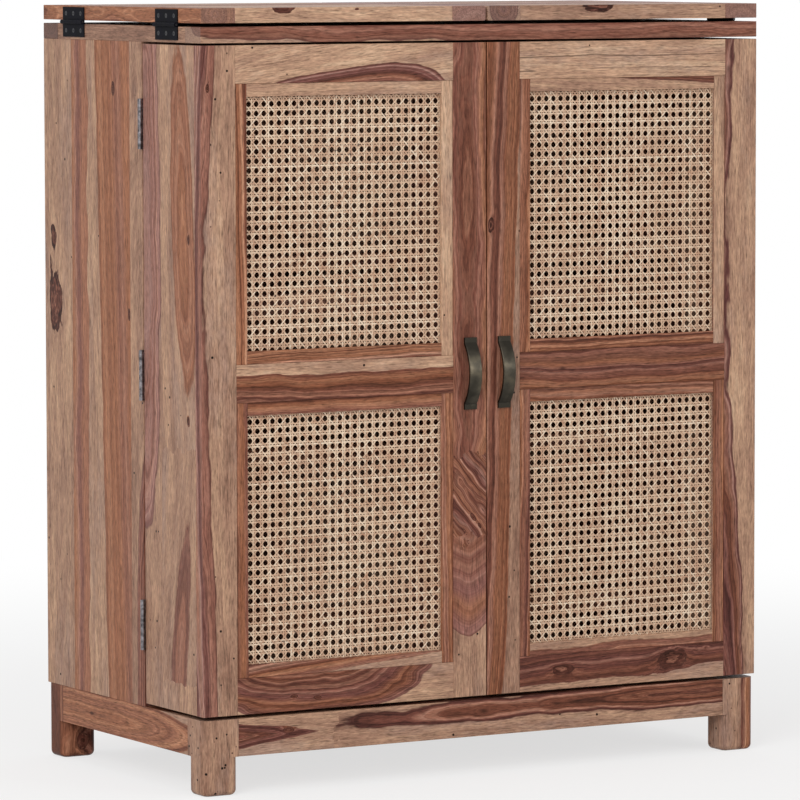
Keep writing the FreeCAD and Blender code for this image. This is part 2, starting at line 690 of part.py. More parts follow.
def door(side_name, side):
    label = f"{side_name}_door"
    whole_z = (DOOR_LOW, DOOR_HIGH)
    front_y = (FRONT, FRAME_BACK)
    stile_inner = f"({DOOR_INNER} + stile_width)"
    stile_outer = f"({HALF} - stile_width)"
    between_stiles = mirrored(side, stile_inner, stile_outer)
    node(board(f"{label}_hinge_stile", mirrored(side, stile_outer, HALF), front_y, whole_z))
    node(board(f"{label}_meeting_stile", mirrored(side, DOOR_INNER, stile_inner), front_y, whole_z))
    rails = (
        ("top_rail", from_high(DOOR_HIGH, "door_top_rail")),
        ("middle_rail", (MIDDLE_RAIL_LOW, MIDDLE_RAIL_HIGH)),
        ("bottom_rail", from_low(DOOR_LOW, "door_bottom_rail")),
    )
    for rail_name, rail_z in rails:
        node(board(f"{label}_{rail_name}", between_stiles, front_y, rail_z))

    # Cane panels, each held by a bead frame: the upright beads run through
    bead_y = from_low(f"{FRONT} + bead_setback", "bead_thickness")
    cane_y = from_low(bead_y[1], "cane_thickness")
    openings = (
        ("lower", f"{DOOR_LOW} + door_bottom_rail", MIDDLE_RAIL_LOW),
        ("upper", MIDDLE_RAIL_HIGH, f"{DOOR_HIGH} - door_top_rail"),
    )
    beads, panes = [], []
    for place, low, high in openings:
        upright_z = (low, high)
        across_x = mirrored(side, f"{stile_inner} + bead_width", f"{stile_outer} - bead_width")
        inner_x = mirrored(side, *from_low(stile_inner, "bead_width"))
        outer_x = mirrored(side, *from_high(stile_outer, "bead_width"))
        name = f"{label}_{place}_bead"
        beads.append(board(f"{name}_inner", inner_x, bead_y, upright_z))
        beads.append(board(f"{name}_outer", outer_x, bead_y, upright_z))
        beads.append(board(f"{name}_low", across_x, bead_y, from_low(low, "bead_width")))
        beads.append(board(f"{name}_high", across_x, bead_y, from_high(high, "bead_width")))
        cane_x = mirrored(side, f"{stile_inner} + cane_trim", f"{stile_outer} - cane_trim")
        cane_z = (f"{low} + cane_trim", f"{high} - cane_trim")
        panes.append(cane_sheet(f"{label}_{place}_cane", cane_x, cane_y, cane_z))
    group(f"{label}_beads", beads)
    group(f"{label}_cane", panes)

    # Box behind the front frame, with a shelf at the middle rail and rails that keep bottles in
    box_y = (FRAME_BACK, DOOR_BACK)
    box_inner = f"({DOOR_INNER} + door_side_thickness)"
    box_outer = f"({HALF} - door_side_thickness)"
    between_boards = mirrored(side, box_inner, box_outer)
    node(board(f"{label}_hinge_side", mirrored(side, box_outer, HALF), box_y, whole_z))
    node(board(f"{label}_meeting_side", mirrored(side, DOOR_INNER, box_inner), box_y, whole_z))
    floor_z = from_low(DOOR_LOW, "door_board_thickness")
    shelf_z = about(MIDDLE_LEVEL, "door_board_thickness")
    roof_z = from_high(DOOR_HIGH, "door_board_thickness")
    boards, rails = [], []
    for place, board_z in (("floor", floor_z), ("shelf", shelf_z), ("roof", roof_z)):
        boards.append(board(f"{label}_box_{place}", between_boards, box_y, board_z))
    group(f"{label}_box_boards", boards)
    rail_y = from_high(DOOR_BACK, "bottle_rail_thickness")
    for place, board_z in (("floor", floor_z), ("shelf", shelf_z)):
        rail_z = from_low(f"{board_z[1]} + bottle_rail_level", "bottle_rail_height")
        rails.append(board(f"{label}_bottle_rail_{place}", between_boards, rail_y, rail_z))
    group(f"{label}_bottle_rails", rails)

    handle_x = f"{side} * ({DOOR_INNER} + stile_width / 2)"
    handle(f"{label}_handle", handle_x)
    group(f"{label}_hinge_plates", door_plates[side_name])
    screws = list(door_screws[side_name])
    bolt_reach = "(handle_length / 2 - bolt_inset)"
    forward = FreeCAD.Rotation(UP, FreeCAD.Vector(0, -1, 0))
    for place, way in (("high", 1), ("low", -1)):
        bolt_point = (handle_x, FRAME_BACK, f"{MIDDLE_LEVEL} + {way} * {bolt_reach}")
        screws.append(copy_of(bolt, f"{label}_bolt_{place}", bolt_point, forward))
    group(f"{label}_screws", screws)
    strike_x = mirrored(side, *about(f"{DOOR_INNER} + door_side_thickness / 2", "catch_width"))
    strike, blank = block(f"{label}_strike", strike_x, strike_y, strike_z)
    node(strike)


# Leaves
def rounded_stile(label, side, x, y, z):
    """The inner stile of a leaf, with its two long meeting edges rounded over."""
    body, blank = block(label, x, y, z)
    doc.recompute()
    box = blank.Shape.BoundBox
    meeting_x = box.XMin if side > 0 else box.XMax
    rounded = body.newObject("PartDesign::Fillet", f"{label}_rounded")

    def meets_other_leaf(edge):
        return runs_along(edge, 1) and abs(edge.CenterOfMass.x - meeting_x) < 1e-6

    rounded.Base = (blank, edges_where(blank, meets_other_leaf))
    bind(rounded, "Radius", "leaf_round")
    return body


def leaf(side_name, side):
    label = f"{side_name}_leaf"
    z = (LEAF_UNDER, "height")
    whole_y = (FRONT, BACK)
    inner_edge = f"({LEAF_INNER} + leaf_stile_width)"
    outer_edge = f"({HALF} - leaf_stile_width)"
    between_x = mirrored(side, inner_edge, outer_edge)
    frame = [
        board(f"{label}_outer_stile", mirrored(side, outer_edge, HALF), whole_y, z),
        rounded_stile(f"{label}_inner_stile", side, mirrored(side, LEAF_INNER, inner_edge), whole_y, z),
        board(f"{label}_front_rail", between_x, from_low(FRONT, "leaf_rail_width"), z),
        board(f"{label}_back_rail", between_x, from_high(BACK, "leaf_rail_width"), z),
    ]
    group(f"{label}_frame", frame)
    panel_y = (f"{FRONT} + leaf_rail_width", f"{BACK} - leaf_rail_width")
    node(board(f"{label}_panel", between_x, panel_y, z))
    group(f"{label}_hinge_plates", leaf_plates[side_name])
    group(f"{label}_screws", leaf_screws[side_name])


for side_name, side in SIDES:
    door(side_name, side)
for side_name, side in SIDES:
    leaf(side_name, side)
doc.recompute()

for item in doc.Objects:
    if "Invalid" in item.State or "Error" in item.State:
        raise RuntimeError(f"{item.Label} failed: {item.State}")
for piece in subparts:
    if piece.Shape.isNull() or not piece.Shape.isValid():
        raise RuntimeError(f"{piece.Label} has no valid shape")

os.makedirs("parts", exist_ok=True)
for piece in subparts:
    piece.Shape.exportStep(f"parts/{piece.Label}.step")
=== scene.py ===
import math
import random
from collections import namedtuple
from functools import partial

import bpy
from mathutils import Matrix, Vector


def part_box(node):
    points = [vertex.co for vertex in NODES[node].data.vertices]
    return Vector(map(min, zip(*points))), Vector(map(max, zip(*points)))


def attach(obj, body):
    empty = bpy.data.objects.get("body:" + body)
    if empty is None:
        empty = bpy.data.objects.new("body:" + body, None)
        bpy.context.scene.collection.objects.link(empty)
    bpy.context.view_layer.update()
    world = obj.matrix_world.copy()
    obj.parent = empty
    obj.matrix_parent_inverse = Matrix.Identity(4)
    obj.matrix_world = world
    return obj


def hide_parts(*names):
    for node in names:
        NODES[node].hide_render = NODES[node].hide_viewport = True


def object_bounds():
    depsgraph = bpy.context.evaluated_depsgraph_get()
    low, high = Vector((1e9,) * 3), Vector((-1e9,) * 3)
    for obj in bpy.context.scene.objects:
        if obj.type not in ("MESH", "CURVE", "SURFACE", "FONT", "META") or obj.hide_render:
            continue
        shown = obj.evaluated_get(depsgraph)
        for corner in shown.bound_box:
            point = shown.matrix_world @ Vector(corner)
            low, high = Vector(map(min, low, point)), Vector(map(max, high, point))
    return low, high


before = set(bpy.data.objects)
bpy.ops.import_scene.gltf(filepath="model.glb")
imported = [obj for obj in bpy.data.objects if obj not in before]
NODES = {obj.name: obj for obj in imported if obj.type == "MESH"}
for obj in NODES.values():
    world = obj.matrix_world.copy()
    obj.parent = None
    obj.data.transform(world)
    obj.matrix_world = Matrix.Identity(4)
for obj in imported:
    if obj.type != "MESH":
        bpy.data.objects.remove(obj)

CAD_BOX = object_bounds()
MM = 0.001


# Small tools

def linear(colour):
    """An sRGB hex colour as linear red, green, blue and alpha."""
    channels = [int(colour[i:i + 2], 16) / 255 for i in (1, 3, 5)]
    return [c / 12.92 if c <= 0.04045 else ((c + 0.055) / 1.055) ** 2.4 for c in channels] + [1]


def add(tree, kind, inputs=(), operation=None, stops=(), **settings):
    """Adds a node, links or sets its inputs by name or in order, and gives back its first live output."""
    node = tree.nodes.new("ShaderNode" + kind)
    if operation:
        node.operation = operation
    for name, value in settings.items():
        setattr(node, name, value)
    live = [socket for socket in node.inputs if socket.enabled]
    for key, value in inputs.items() if isinstance(inputs, dict) else enumerate(inputs):
        socket = live[key] if isinstance(key, int) else next(s for s in live if s.name == key)
        if isinstance(value, bpy.types.NodeSocket):
            tree.links.new(value, socket)
        else:
            socket.default_value = value
    for i, (place, colour) in enumerate(stops):
        elements = node.color_ramp.elements
        element = elements[i] if i < len(elements) else elements.new(place)
        element.position = place
        element.color = linear(colour)
    return next((socket for socket in node.outputs if socket.enabled), node)


def per_metre(size):
    """How often a pattern of this size, in millimetres, repeats in a metre."""
    return 1 / (size * MM)


def new_material(name):
    """An empty material, what adds a node to it, and the place on the part."""
    material = bpy.data.materials.new(name)
    material.use_nodes = True
    material.node_tree.nodes.clear()
    node = partial(add, material.node_tree)
    return material, node, node("TexCoord").node.outputs["Object"]


def put(name, data):
    """A new object in the scene."""
    thing = bpy.data.objects.new(name, data)
    bpy.context.scene.collection.objects.link(thing)
    return thing


def end_material(material, node, looks, relief, depth, strength):
    """Gives a material its surface, with a relief that is so many millimetres deep."""
    bump = node("Bump", {"Strength": strength, "Distance": depth * MM, "Height": relief})
    surface = node("BsdfPrincipled", looks | {"Normal": bump})
    node("OutputMaterial", {"Surface": surface})
    return material


# Sheesham, Indian rosewood: sawn from small logs, planed, sanded and given a thin satin lacquer. The eye
# sees pale sapwood against red-brown heartwood, wavy dark rings that open into flames on flat-sawn faces,
# short open pores along the grain, knots, and pinholes and grey stain in the sapwood.

HEART_WARM = ((0, "#4A2A1B"), (0.35, "#7C4A34"), (0.65, "#A46E51"), (1, "#C69171"))
HEART_MAUVE = ((0, "#40231E"), (0.35, "#6E413A"), (0.65, "#94665B"), (1, "#B98E81"))
SAPWOOD = ((0, "#866352"), (0.35, "#A5806A"), (0.65, "#BA9479"), (1, "#D0AD8F"))
GREY_STAIN = "#98817A"
HEART_RIM = "#4F2C2A"
VEIN = "#3C1F18"
KNOT = ((0.3, "#30170E"), (0.53, "#60362B"), (0.77, "#92624F"))
KNOT_RIM = "#3B1F18"
PINHOLE = "#19100D"
END_GRAIN = "#A0857A"

# A noise lies between about these, which a map stretches to the full range of a pattern.
NOISE_RANGE = {"From Min": 0.3, "From Max": 0.7}
# How often each kind of figure repeats in a metre, along the grain and then across it twice, and its detail
FIGURE_NOISES = {
    "slow": ((2.2, 9, 9), 2),  # the log's long curves, half a metre long
    "wave": ((11, 20, 20), 2),  # waves 90 mm long
    "jags": ((32, 130, 130), 2),  # jags 30 mm long and 8 wide
    "stain": ((3, 16, 16), 2),  # stains 330 mm long and 60 wide
    "blotches": ((7, 45, 45), 3),  # blotches 140 mm long and 20 wide
    "mottles": ((55, 120, 120), 2),  # mottles 18 mm long and 8 wide
    "flecks": ((110, 460, 460), 2),  # flecks 9 mm long and 2 wide
    "fibres": ((24, 580, 580), 2),  # bundles of fibres 40 mm long and under 2 wide
    # A real pore is a quarter of a millimetre wide. It is drawn four times as wide, so that it shows.
    "pores": ((60, 800, 800), 1),
}
PIN_KNOTS_PER_METRE = (8, 22, 22)
# A real pinhole is a millimetre or two wide. It is drawn three wide, so that it shows.
PINHOLES_PER_METRE = 80
FINGERS_PER_METRE = 60
# Lengths in millimetres
RIM_WIDTH = 4
JAG_REACH = 3.5
EDGE_SOFTNESS = 0.7
SMALLEST_KNOT = 0.1
CHECK_SPACING = 20
CHECK_WANDER = 30
# A real drying check is a hairline. It is drawn a millimetre wide, so that it shows.
CHECK_WIDTH = 1
GRAIN_DEPTH = 0.25
# Knots: their stretch along the grain, how far they push rings and heart, and a place far from all of them
KNOTS_PER_LOG = 2
KNOT_STRETCH = (0.45, 1, 0.5)
KNOT_SWELL = 2.2
KNOT_HEART = 3
FAR = 9
# How much darker pores and end grain are, and how much duller end grain is
PORE_DARKNESS = 0.36
END_DARKNESS = 0.14
END_DULLNESS = 0.33
LACQUER_IOR = 1.48
LACQUER_SHINE = 0.1

# What the figure is told of a log, by the names of its fields, and of the surface
FIGURE_SHARES = ("Bow", "Sway", "Taper", "Warmth", "Shade", "Pale", "Contrast", "Checks", "Pinholes")
FIGURE_LENGTHS = ("Heart", "Ring", "Wander")
FIGURE_INPUTS = ("End grain", "Seed", *FIGURE_SHARES, *FIGURE_LENGTHS, "Knot 1 size", "Knot 2 size")
FIGURE_PLACES = ("Place", "Knot 1", "Knot 2")


def sheesham_figure():
    """The solid figure of one log, whose pith lies along X: its colour, roughness and height."""
    tree = bpy.data.node_groups.new("sheesham_figure", "ShaderNodeTree")
    for name in FIGURE_PLACES:
        tree.interface.new_socket(name, in_out="INPUT", socket_type="NodeSocketVector")
    for name in FIGURE_INPUTS:
        tree.interface.new_socket(name, in_out="INPUT", socket_type="NodeSocketFloat")
    tree.interface.new_socket("Color", in_out="OUTPUT", socket_type="NodeSocketColor")
    for name in ("Roughness", "Height"):
        tree.interface.new_socket(name, in_out="OUTPUT", socket_type="NodeSocketFloat")
    given = tree.nodes.new("NodeGroupInput").outputs
    node = partial(add, tree)

    # Noise along the grain, read at a place of this log's own
    grain = node("VectorMath", [given["Place"], given["Seed"]], "ADD")
    noise = {}
    for name, (scale, detail) in FIGURE_NOISES.items():
        scaled = node("VectorMath", [grain, scale], "MULTIPLY")
        noise[name] = node("TexNoise", {"Vector": scaled, "Scale": 1, "Detail": detail, "Roughness": 0.6})

    # Distance from the pith, which bows or sways in depth along the board; the log tapers along it too
    part = node("SeparateXYZ", [given["Place"]]).node.outputs
    turn = node("Math", [2 * math.pi, given["Sway"]], "DIVIDE")
    phase = node("Math", [part["X"], turn], "MULTIPLY")
    swing = node("Math", [1, node("Math", [phase], "COSINE")], "SUBTRACT")
    reach = node("Math", [given["Bow"], node("Math", [turn, turn], "MULTIPLY")], "DIVIDE")
    bend = node("Math", [swing, reach], "MULTIPLY")
    bend = node("Math", [bend, 2, part["Z"]], "MULTIPLY_ADD")
    radius = node("VectorMath", [node("CombineXYZ", {"Y": part["Y"], "Z": bend})], "LENGTH")
    cone = node("Math", [part["X"], given["Taper"]], "MULTIPLY")
    radius = node("Math", [radius, cone], "SUBTRACT")
    waver = node("Math", [noise["wave"], 0.55, noise["slow"]], "MULTIPLY_ADD")
    waver = node("MapRange", {"Value": waver, "From Min": 0.37, "From Max": 1.18, "To Min": -1,
                              "To Max": 1}, clamp=False)
    age = node("Math", [waver, given["Wander"], radius], "MULTIPLY_ADD")

    # Knots swell the rings round them; each has an uneven outline, and near is 1 on it
    lumps = node("Math", [noise["wave"], 1.9, -0.55], "MULTIPLY_ADD")
    lumps = node("Math", [noise["mottles"], 0.8, lumps], "MULTIPLY_ADD")
    lumps = node("Math", [noise["jags"], 0.5, lumps], "MULTIPLY_ADD")
    swell, near = 0, FAR
    for name in ("Knot 1", "Knot 2"):
        away = node("VectorMath", [given["Place"], given[name]], "SUBTRACT")
        away = node("VectorMath", [away, KNOT_STRETCH], "MULTIPLY")
        size = given[name + " size"]
        away = node("Math", [node("VectorMath", [away], "LENGTH"), size], "DIVIDE")
        away = node("Math", [away, lumps], "MULTIPLY")
        missing = node("Math", [size, SMALLEST_KNOT * MM], "LESS_THAN")
        away = node("Math", [missing, FAR, away], "MULTIPLY_ADD")
        fall = node("Math", [node("Math", [away, away], "MULTIPLY"), -1], "MULTIPLY")
        bell = node("Math", [fall], "EXPONENT")
        swell = node("Math", [bell, size, swell], "MULTIPLY_ADD")
        near = node("Math", [away, near], "MINIMUM")
    knotted = node("Math", [swell, KNOT_SWELL, age], "MULTIPLY_ADD")

    # Rings: bands of tone with finer lines in them, and thin dark veins
    rings = node("Math", [knotted, given["Ring"]], "DIVIDE")
    rings = node("Math", [given["Seed"], 7, rings], "MULTIPLY_ADD")
    across = {}
    for name, scale, detail in (("bands", 1, 2), ("lines", 4.3, 2), ("hues", 0.37, 1), ("veins", 1.2, 1)):
        across[name] = node("TexNoise", {"W": rings, "Scale": scale, "Detail": detail, "Roughness": 0.65},
                            noise_dimensions="1D")
    tone = node("Math", [across["lines"], 0.42, across["bands"]], "MULTIPLY_ADD")
    tone = node("Math", [noise["blotches"], 0.4, tone], "MULTIPLY_ADD")
    tone = node("MapRange", {"Value": tone, "From Min": 0.56, "From Max": 1.26, "To Min": -0.5,
                             "To Max": 0.5}, clamp=False)
    tone = node("Math", [tone, given["Contrast"]], "MULTIPLY")
    vein = node("Math", [node("Math", [across["veins"], -0.5], "ADD")], "ABSOLUTE")
    vein = node("MapRange",
                {"Value": vein, "From Min": 0.01, "From Max": 0.08, "To Min": 0.75, "To Max": 0})
    vein = node("Math", [vein, noise["slow"]], "MULTIPLY")
    vein = node("Math", [vein, given["Contrast"]], "MULTIPLY")

    # Heartwood, warm or mauve, darker at its rim
    shaded = node("Math", [node("Math", [1, given["Shade"]], "SUBTRACT"), tone], "ADD")
    warm = node("ValToRGB", [shaded], stops=HEART_WARM)
    mauve = node("ValToRGB", [shaded], stops=HEART_MAUVE)
    warmth = node("MapRange", {"Value": across["hues"], **NOISE_RANGE, "To Min": -0.4, "To Max": 0.4})
    warmth = node("Math", [warmth, given["Warmth"]], "ADD", use_clamp=True)
    heart = node("Mix", [warmth, mauve, warm], data_type="RGBA")
    heart = node("Mix", [vein, heart, linear(VEIN)], data_type="RGBA")
    inside = node("Math", [given["Heart"], age], "SUBTRACT")
    inside = node("Math", [swell, KNOT_HEART, inside], "MULTIPLY_ADD")
    rim = node("MapRange", {"Value": inside, "From Max": RIM_WIDTH * MM, "To Min": 1, "To Max": 0})
    rim_strength = node("Math", [given["Warmth"], -0.7, 0.75], "MULTIPLY_ADD")
    rim = node("Math", [rim, rim_strength], "MULTIPLY")
    heart = node("Mix", [rim, heart, linear(HEART_RIM)], data_type="RGBA")

    # Sapwood, mottled and stained grey here and there
    pale = node("Math", [tone, 0.3, noise["blotches"]], "MULTIPLY_ADD")
    pale = node("Math", [given["Pale"], 0.6, pale], "MULTIPLY_ADD")
    pale = node("Math", [noise["mottles"], 0.35, pale], "MULTIPLY_ADD")
    pale = node("MapRange", {"Value": pale, "From Min": 0.57, "From Max": 1.37})
    sap = node("ValToRGB", [pale], stops=SAPWOOD)
    stain = node("Math", [noise["mottles"], 0.35, noise["stain"]], "MULTIPLY_ADD")
    stain = node("MapRange", {"Value": stain, "From Min": 0.68, "From Max": 0.9, "To Max": 0.4})
    sap = node("Mix", [stain, sap, linear(GREY_STAIN)], data_type="RGBA")

    # The edge of the heart is a little jagged along the grain
    ragged = node("Math", [noise["jags"], -0.5], "ADD")
    ragged = node("Math", [ragged, JAG_REACH * MM, inside], "MULTIPLY_ADD")
    mask = node("MapRange", {"Value": ragged, "From Min": -EDGE_SOFTNESS * MM,
                             "From Max": EDGE_SOFTNESS * MM}, interpolation_type="SMOOTHSTEP")
    knot = node("MapRange", {"Value": near, "From Min": 0.97, "From Max": 1.05, "To Min": 1, "To Max": 0})
    mask = node("Math", [mask, knot], "MAXIMUM")
    colour = node("Mix", [mask, sap, heart], data_type="RGBA")

    # Inside a knot lie close whorls, dark at its rim; pin knots are small dark specks with a soft edge
    whorl = node("Math", [near, 2.5, given["Seed"]], "MULTIPLY_ADD")
    whorl = node("Math", [noise["jags"], 4, whorl], "MULTIPLY_ADD")
    whorl = node("TexNoise", {"W": whorl, "Scale": 1, "Detail": 2, "Roughness": 0.7},
                 noise_dimensions="1D")
    whorl = node("Math", [noise["mottles"], 0.5, whorl], "MULTIPLY_ADD")
    whorl = node("Math", [whorl, -0.25], "ADD")
    whorl = node("ValToRGB", [whorl], stops=KNOT)
    brim = node("MapRange", {"Value": near, "From Min": 0.75, "From Max": 1, "To Max": 0.8})
    whorl = node("Mix", [brim, whorl, linear(KNOT_RIM)], data_type="RGBA")
    colour = node("Mix", [knot, colour, whorl], data_type="RGBA")
    pins = node("VectorMath", [grain, PIN_KNOTS_PER_METRE], "MULTIPLY")
    pins = node("TexVoronoi", {"Vector": pins, "Scale": 1}).node.outputs
    rare = node("Math", [node("SeparateXYZ", [pins["Color"]]), 0.7], "GREATER_THAN")
    pin = node("MapRange", {"Value": pins["Distance"], "From Min": 0.03, "From Max": 0.075, "To Min": 0.85,
                            "To Max": 0})
    pin = node("Math", [pin, node("Math", [rare, mask], "MULTIPLY")], "MULTIPLY")
    colour = node("Mix", [pin, colour, linear(KNOT_RIM)], data_type="RGBA")

    # Fibres, flecks, pores and the end grain, which is darker and duller
    fibre = node("MapRange", {"Value": noise["fibres"], **NOISE_RANGE, "To Min": 0.8, "To Max": 1.2})
    fleck = node("MapRange", {"Value": noise["flecks"], **NOISE_RANGE, "To Min": 0.8, "To Max": 1.2})
    light = node("Math", [fibre, fleck], "MULTIPLY")
    pore = node("MapRange", {"Value": noise["pores"], "From Min": 0.54, "From Max": 0.68})
    light = node("Math", [pore, -PORE_DARKNESS, light], "MULTIPLY_ADD")
    ends = node("Math", [given["End grain"], -END_DARKNESS, 1], "MULTIPLY_ADD")
    light = node("Math", [light, ends], "MULTIPLY")
    dull = node("Math", [given["End grain"], END_DULLNESS], "MULTIPLY")
    colour = node("Mix", [dull, colour, linear(END_GRAIN)], data_type="RGBA")
    colour = node("VectorMath", [colour, light], "MULTIPLY")

    # Pinholes in clusters in the sapwood, and fine drying checks along the grain
    holes = node("TexVoronoi", {"Vector": grain, "Scale": PINHOLES_PER_METRE}).node.outputs
    hole = node("MapRange",
                {"Value": holes["Distance"], "From Min": 0.12, "From Max": 0.17, "To Min": 1, "To Max": 0})
    many = node("Math", [given["Pinholes"], noise["slow"]], "ADD")
    few = node("Math", [node("SeparateXYZ", [holes["Color"]]), 0.5], "ADD")
    bored = node("Math", [many, few], "GREATER_THAN")
    in_sap = node("Math", [1, mask], "SUBTRACT")
    hole = node("Math", [hole, node("Math", [bored, in_sap], "MULTIPLY")], "MULTIPLY")
    check = node("Math", [noise["slow"], CHECK_WANDER * MM, part["Y"]], "MULTIPLY_ADD")
    check = node("Math", [check, CHECK_SPACING / 2 * MM], "PINGPONG")
    check = node("MapRange", {"Value": check, "From Max": CHECK_WIDTH * MM, "To Min": 0.9, "To Max": 0})
    opened = node("MapRange", {"Value": noise["stain"], "From Min": 0.53, "From Max": 0.55})
    check = node("Math", [check, node("Math", [opened, given["Checks"]], "MULTIPLY")], "MULTIPLY")
    gap = node("Math", [hole, check], "MAXIMUM")
    colour = node("Mix", [gap, colour, linear(PINHOLE)], data_type="RGBA")

    rough = node("Math", [pore, 0.15, 0.34], "MULTIPLY_ADD")
    rough = node("Math", [noise["blotches"], 0.14, rough], "MULTIPLY_ADD")
    low = node("Math", [gap, pore], "MAXIMUM")
    height = node("Math", [low, -1, noise["fibres"]], "MULTIPLY_ADD")
    end = tree.nodes.new("NodeGroupOutput")
    for name, socket in (("Color", colour), ("Roughness", rough), ("Height", height)):
        tree.links.new(socket, end.inputs[name])
    return tree


FIGURE = sheesham_figure()
OUTWARD = {"front": (0, -1, 0), "back": (0, 1, 0), "left": (-1, 0, 0), "right": (1, 0, 0),
           "top": (0, 0, 1), "under": (0, 0, -1)}
ALONG = {"x": (1, 0, 0), "y": (0, 1, 0), "z": (0, 0, 1)}

# The log that a board was sawn from. along and face say how the board lies. pith is a point of the log's
# middle line, in millimetres, and slope and dive tilt that line across the face and into it, in degrees.
# bow, per metre, sinks the pith away from that point, and sway, in metres, brings it back. taper widens the
# heart along the board. heart, ring and wander are millimetres. warmth, shade, pale, contrast and pinholes
# run from 0 to 1. checks opens fine cracks. A panel glued up from staves has their width as stave, and each
# stave has a log of its own. knots are (place, size) in millimetres.
LOG_DEFAULTS = {
    "slope": 0, "dive": 0, "bow": 0, "sway": 8, "taper": 0, "heart": 60, "ring": 7, "wander": 8,
    "warmth": 0.5, "shade": 0.5, "pale": 0.5, "contrast": 1, "checks": 0, "pinholes": 0.03, "stave": 0,
    "knots": (),
}
Log = namedtuple("Log", ["along", "face", "pith", *LOG_DEFAULTS], defaults=LOG_DEFAULTS.values())
# How far apart, in metres, two logs or two staves may lie in the same noise
LOG_SPREAD = 40
STAVE_SPREAD = 30
# How deep a stave's pith may lie, in millimetres
STAVE_DEPTH = 40
# A stave's heart and tints: which of its three chances decides each, and between what values
STAVE_RANGES = {"Heart": (2, 20 * MM, 110 * MM), "Warmth": (0, 0.9, 0.1), "Shade": (1, 0.35, 0.65),
                "Pale": (2, 0.65, 0.2)}


def log_inputs(node, where, log, seed):
    """What the figure needs to know of one log, and the surface's own place in it."""
    normal = Vector(OUTWARD[log.face])
    along = Vector(ALONG[log.along])
    axes = Matrix((along, normal.cross(along), normal)).transposed()
    axes = axes @ Matrix.Rotation(math.radians(log.slope), 3, "Z")
    axes = axes @ Matrix.Rotation(math.radians(log.dive), 3, "Y")
    pith = Vector(log.pith) * MM
    place = node("Mapping", {"Vector": where, "Location": pith, "Rotation": axes.to_euler()},
                 vector_type="TEXTURE")
    end = node("VectorMath", [where.node.outputs["Normal"], along], "DOT_PRODUCT")
    end = node("Math", [end], "ABSOLUTE")
    end = node("MapRange", {"Value": end, "From Min": 0.6, "From Max": 0.9})
    inputs = {"Place": place, "End grain": end, "Seed": seed}
    inputs |= {key: getattr(log, key.lower()) for key in FIGURE_SHARES}
    inputs |= {key: getattr(log, key.lower()) * MM for key in FIGURE_LENGTHS}
    for i in range(KNOTS_PER_LOG):
        knot, size = log.knots[i] if i < len(log.knots) else (log.pith, 0)
        inputs[f"Knot {i + 1}"] = axes.transposed() @ (Vector(knot) * MM - pith)
        inputs[f"Knot {i + 1} size"] = size * MM
    if log.stave:
        inputs.update(stave_inputs(node, place, seed, log))
    return inputs


def stave_inputs(node, place, seed, log):
    """What differs from stave to stave: where its pith lies, how wide its heart is, its tint and noise."""
    across = node("SeparateXYZ", [place]).node.outputs["Y"]
    number = node("Math", [node("Math", [across, log.stave * MM], "DIVIDE")], "FLOOR")
    chance = node("TexWhiteNoise", {"W": node("Math", [number, seed], "ADD")},
                  noise_dimensions="1D").node.outputs["Color"]
    chances = node("SeparateXYZ", [chance]).node.outputs
    middle = node("Math", [node("Math", [number, chances[0]], "ADD"), -log.stave * MM], "MULTIPLY")
    deep = node("Math", [chances[1], STAVE_DEPTH * MM], "MULTIPLY")
    moved = node("VectorMath", [place, node("CombineXYZ", {"Y": middle, "Z": deep})], "ADD")
    inputs = {"Place": moved, "Seed": node("Math", [chances[2], STAVE_SPREAD, seed], "MULTIPLY_ADD")}
    for key, (which, low, high) in STAVE_RANGES.items():
        inputs[key] = node("MapRange", {"Value": chances[which], "To Min": low, "To Max": high})
    return inputs


def sheesham(name, log, strips=()):
    """Sheesham from one log or several: strips are (axis, where the next log starts, over what, log).

    Boards glued side by side meet in a straight line. Where one figure runs into another on one board, they
    meet along ragged fingers.
    """
    material, node, where = new_material("sheesham_" + name)
    chance = random.Random(name)
    inputs = log_inputs(node, where, log, chance.uniform(0, LOG_SPREAD))
    if strips:
        place = node("SeparateXYZ", [where]).node.outputs
        finger = node("TexNoise",
                      {"Vector": where, "Scale": FINGERS_PER_METRE, "Detail": 3, "Roughness": 0.6})
    for axis, start, over, other in strips:
        edge = node("Math", [finger, 2 * over * MM, place[axis]], "MULTIPLY_ADD")
        past = node("Math", [edge, (start + over) * MM], "GREATER_THAN")
        for key, value in log_inputs(node, where, other, chance.uniform(0, LOG_SPREAD)).items():
            kind = "VECTOR" if key in FIGURE_PLACES else "FLOAT"
            if value != inputs[key]:
                inputs[key] = node("Mix", [past, inputs[key], value], data_type=kind)
    figure = node("Group", inputs, node_tree=FIGURE).node.outputs
    looks = {"Base Color": figure["Color"], "Roughness": figure["Roughness"], "IOR": LACQUER_IOR,
             "Specular IOR Level": LACQUER_SHINE}
    return end_material(material, node, looks, figure["Height"], depth=GRAIN_DEPTH, strength=0.5)


# Between what the values of a board lie by chance where the photograph doesn't show it
HIDDEN_LOGS = {
    "bow": (0.02, 0.3), "heart": (25, 110), "ring": (5, 9), "wander": (6, 14), "warmth": (0.2, 0.9),
    "shade": (0.35, 0.6), "pale": (0.3, 0.7), "contrast": (0.6, 1),
}
# How deep its pith lies, in millimetres, and how far that tilts, in degrees
HIDDEN_DEPTHS = (5, 40)
SLOPES = (-2, 2)


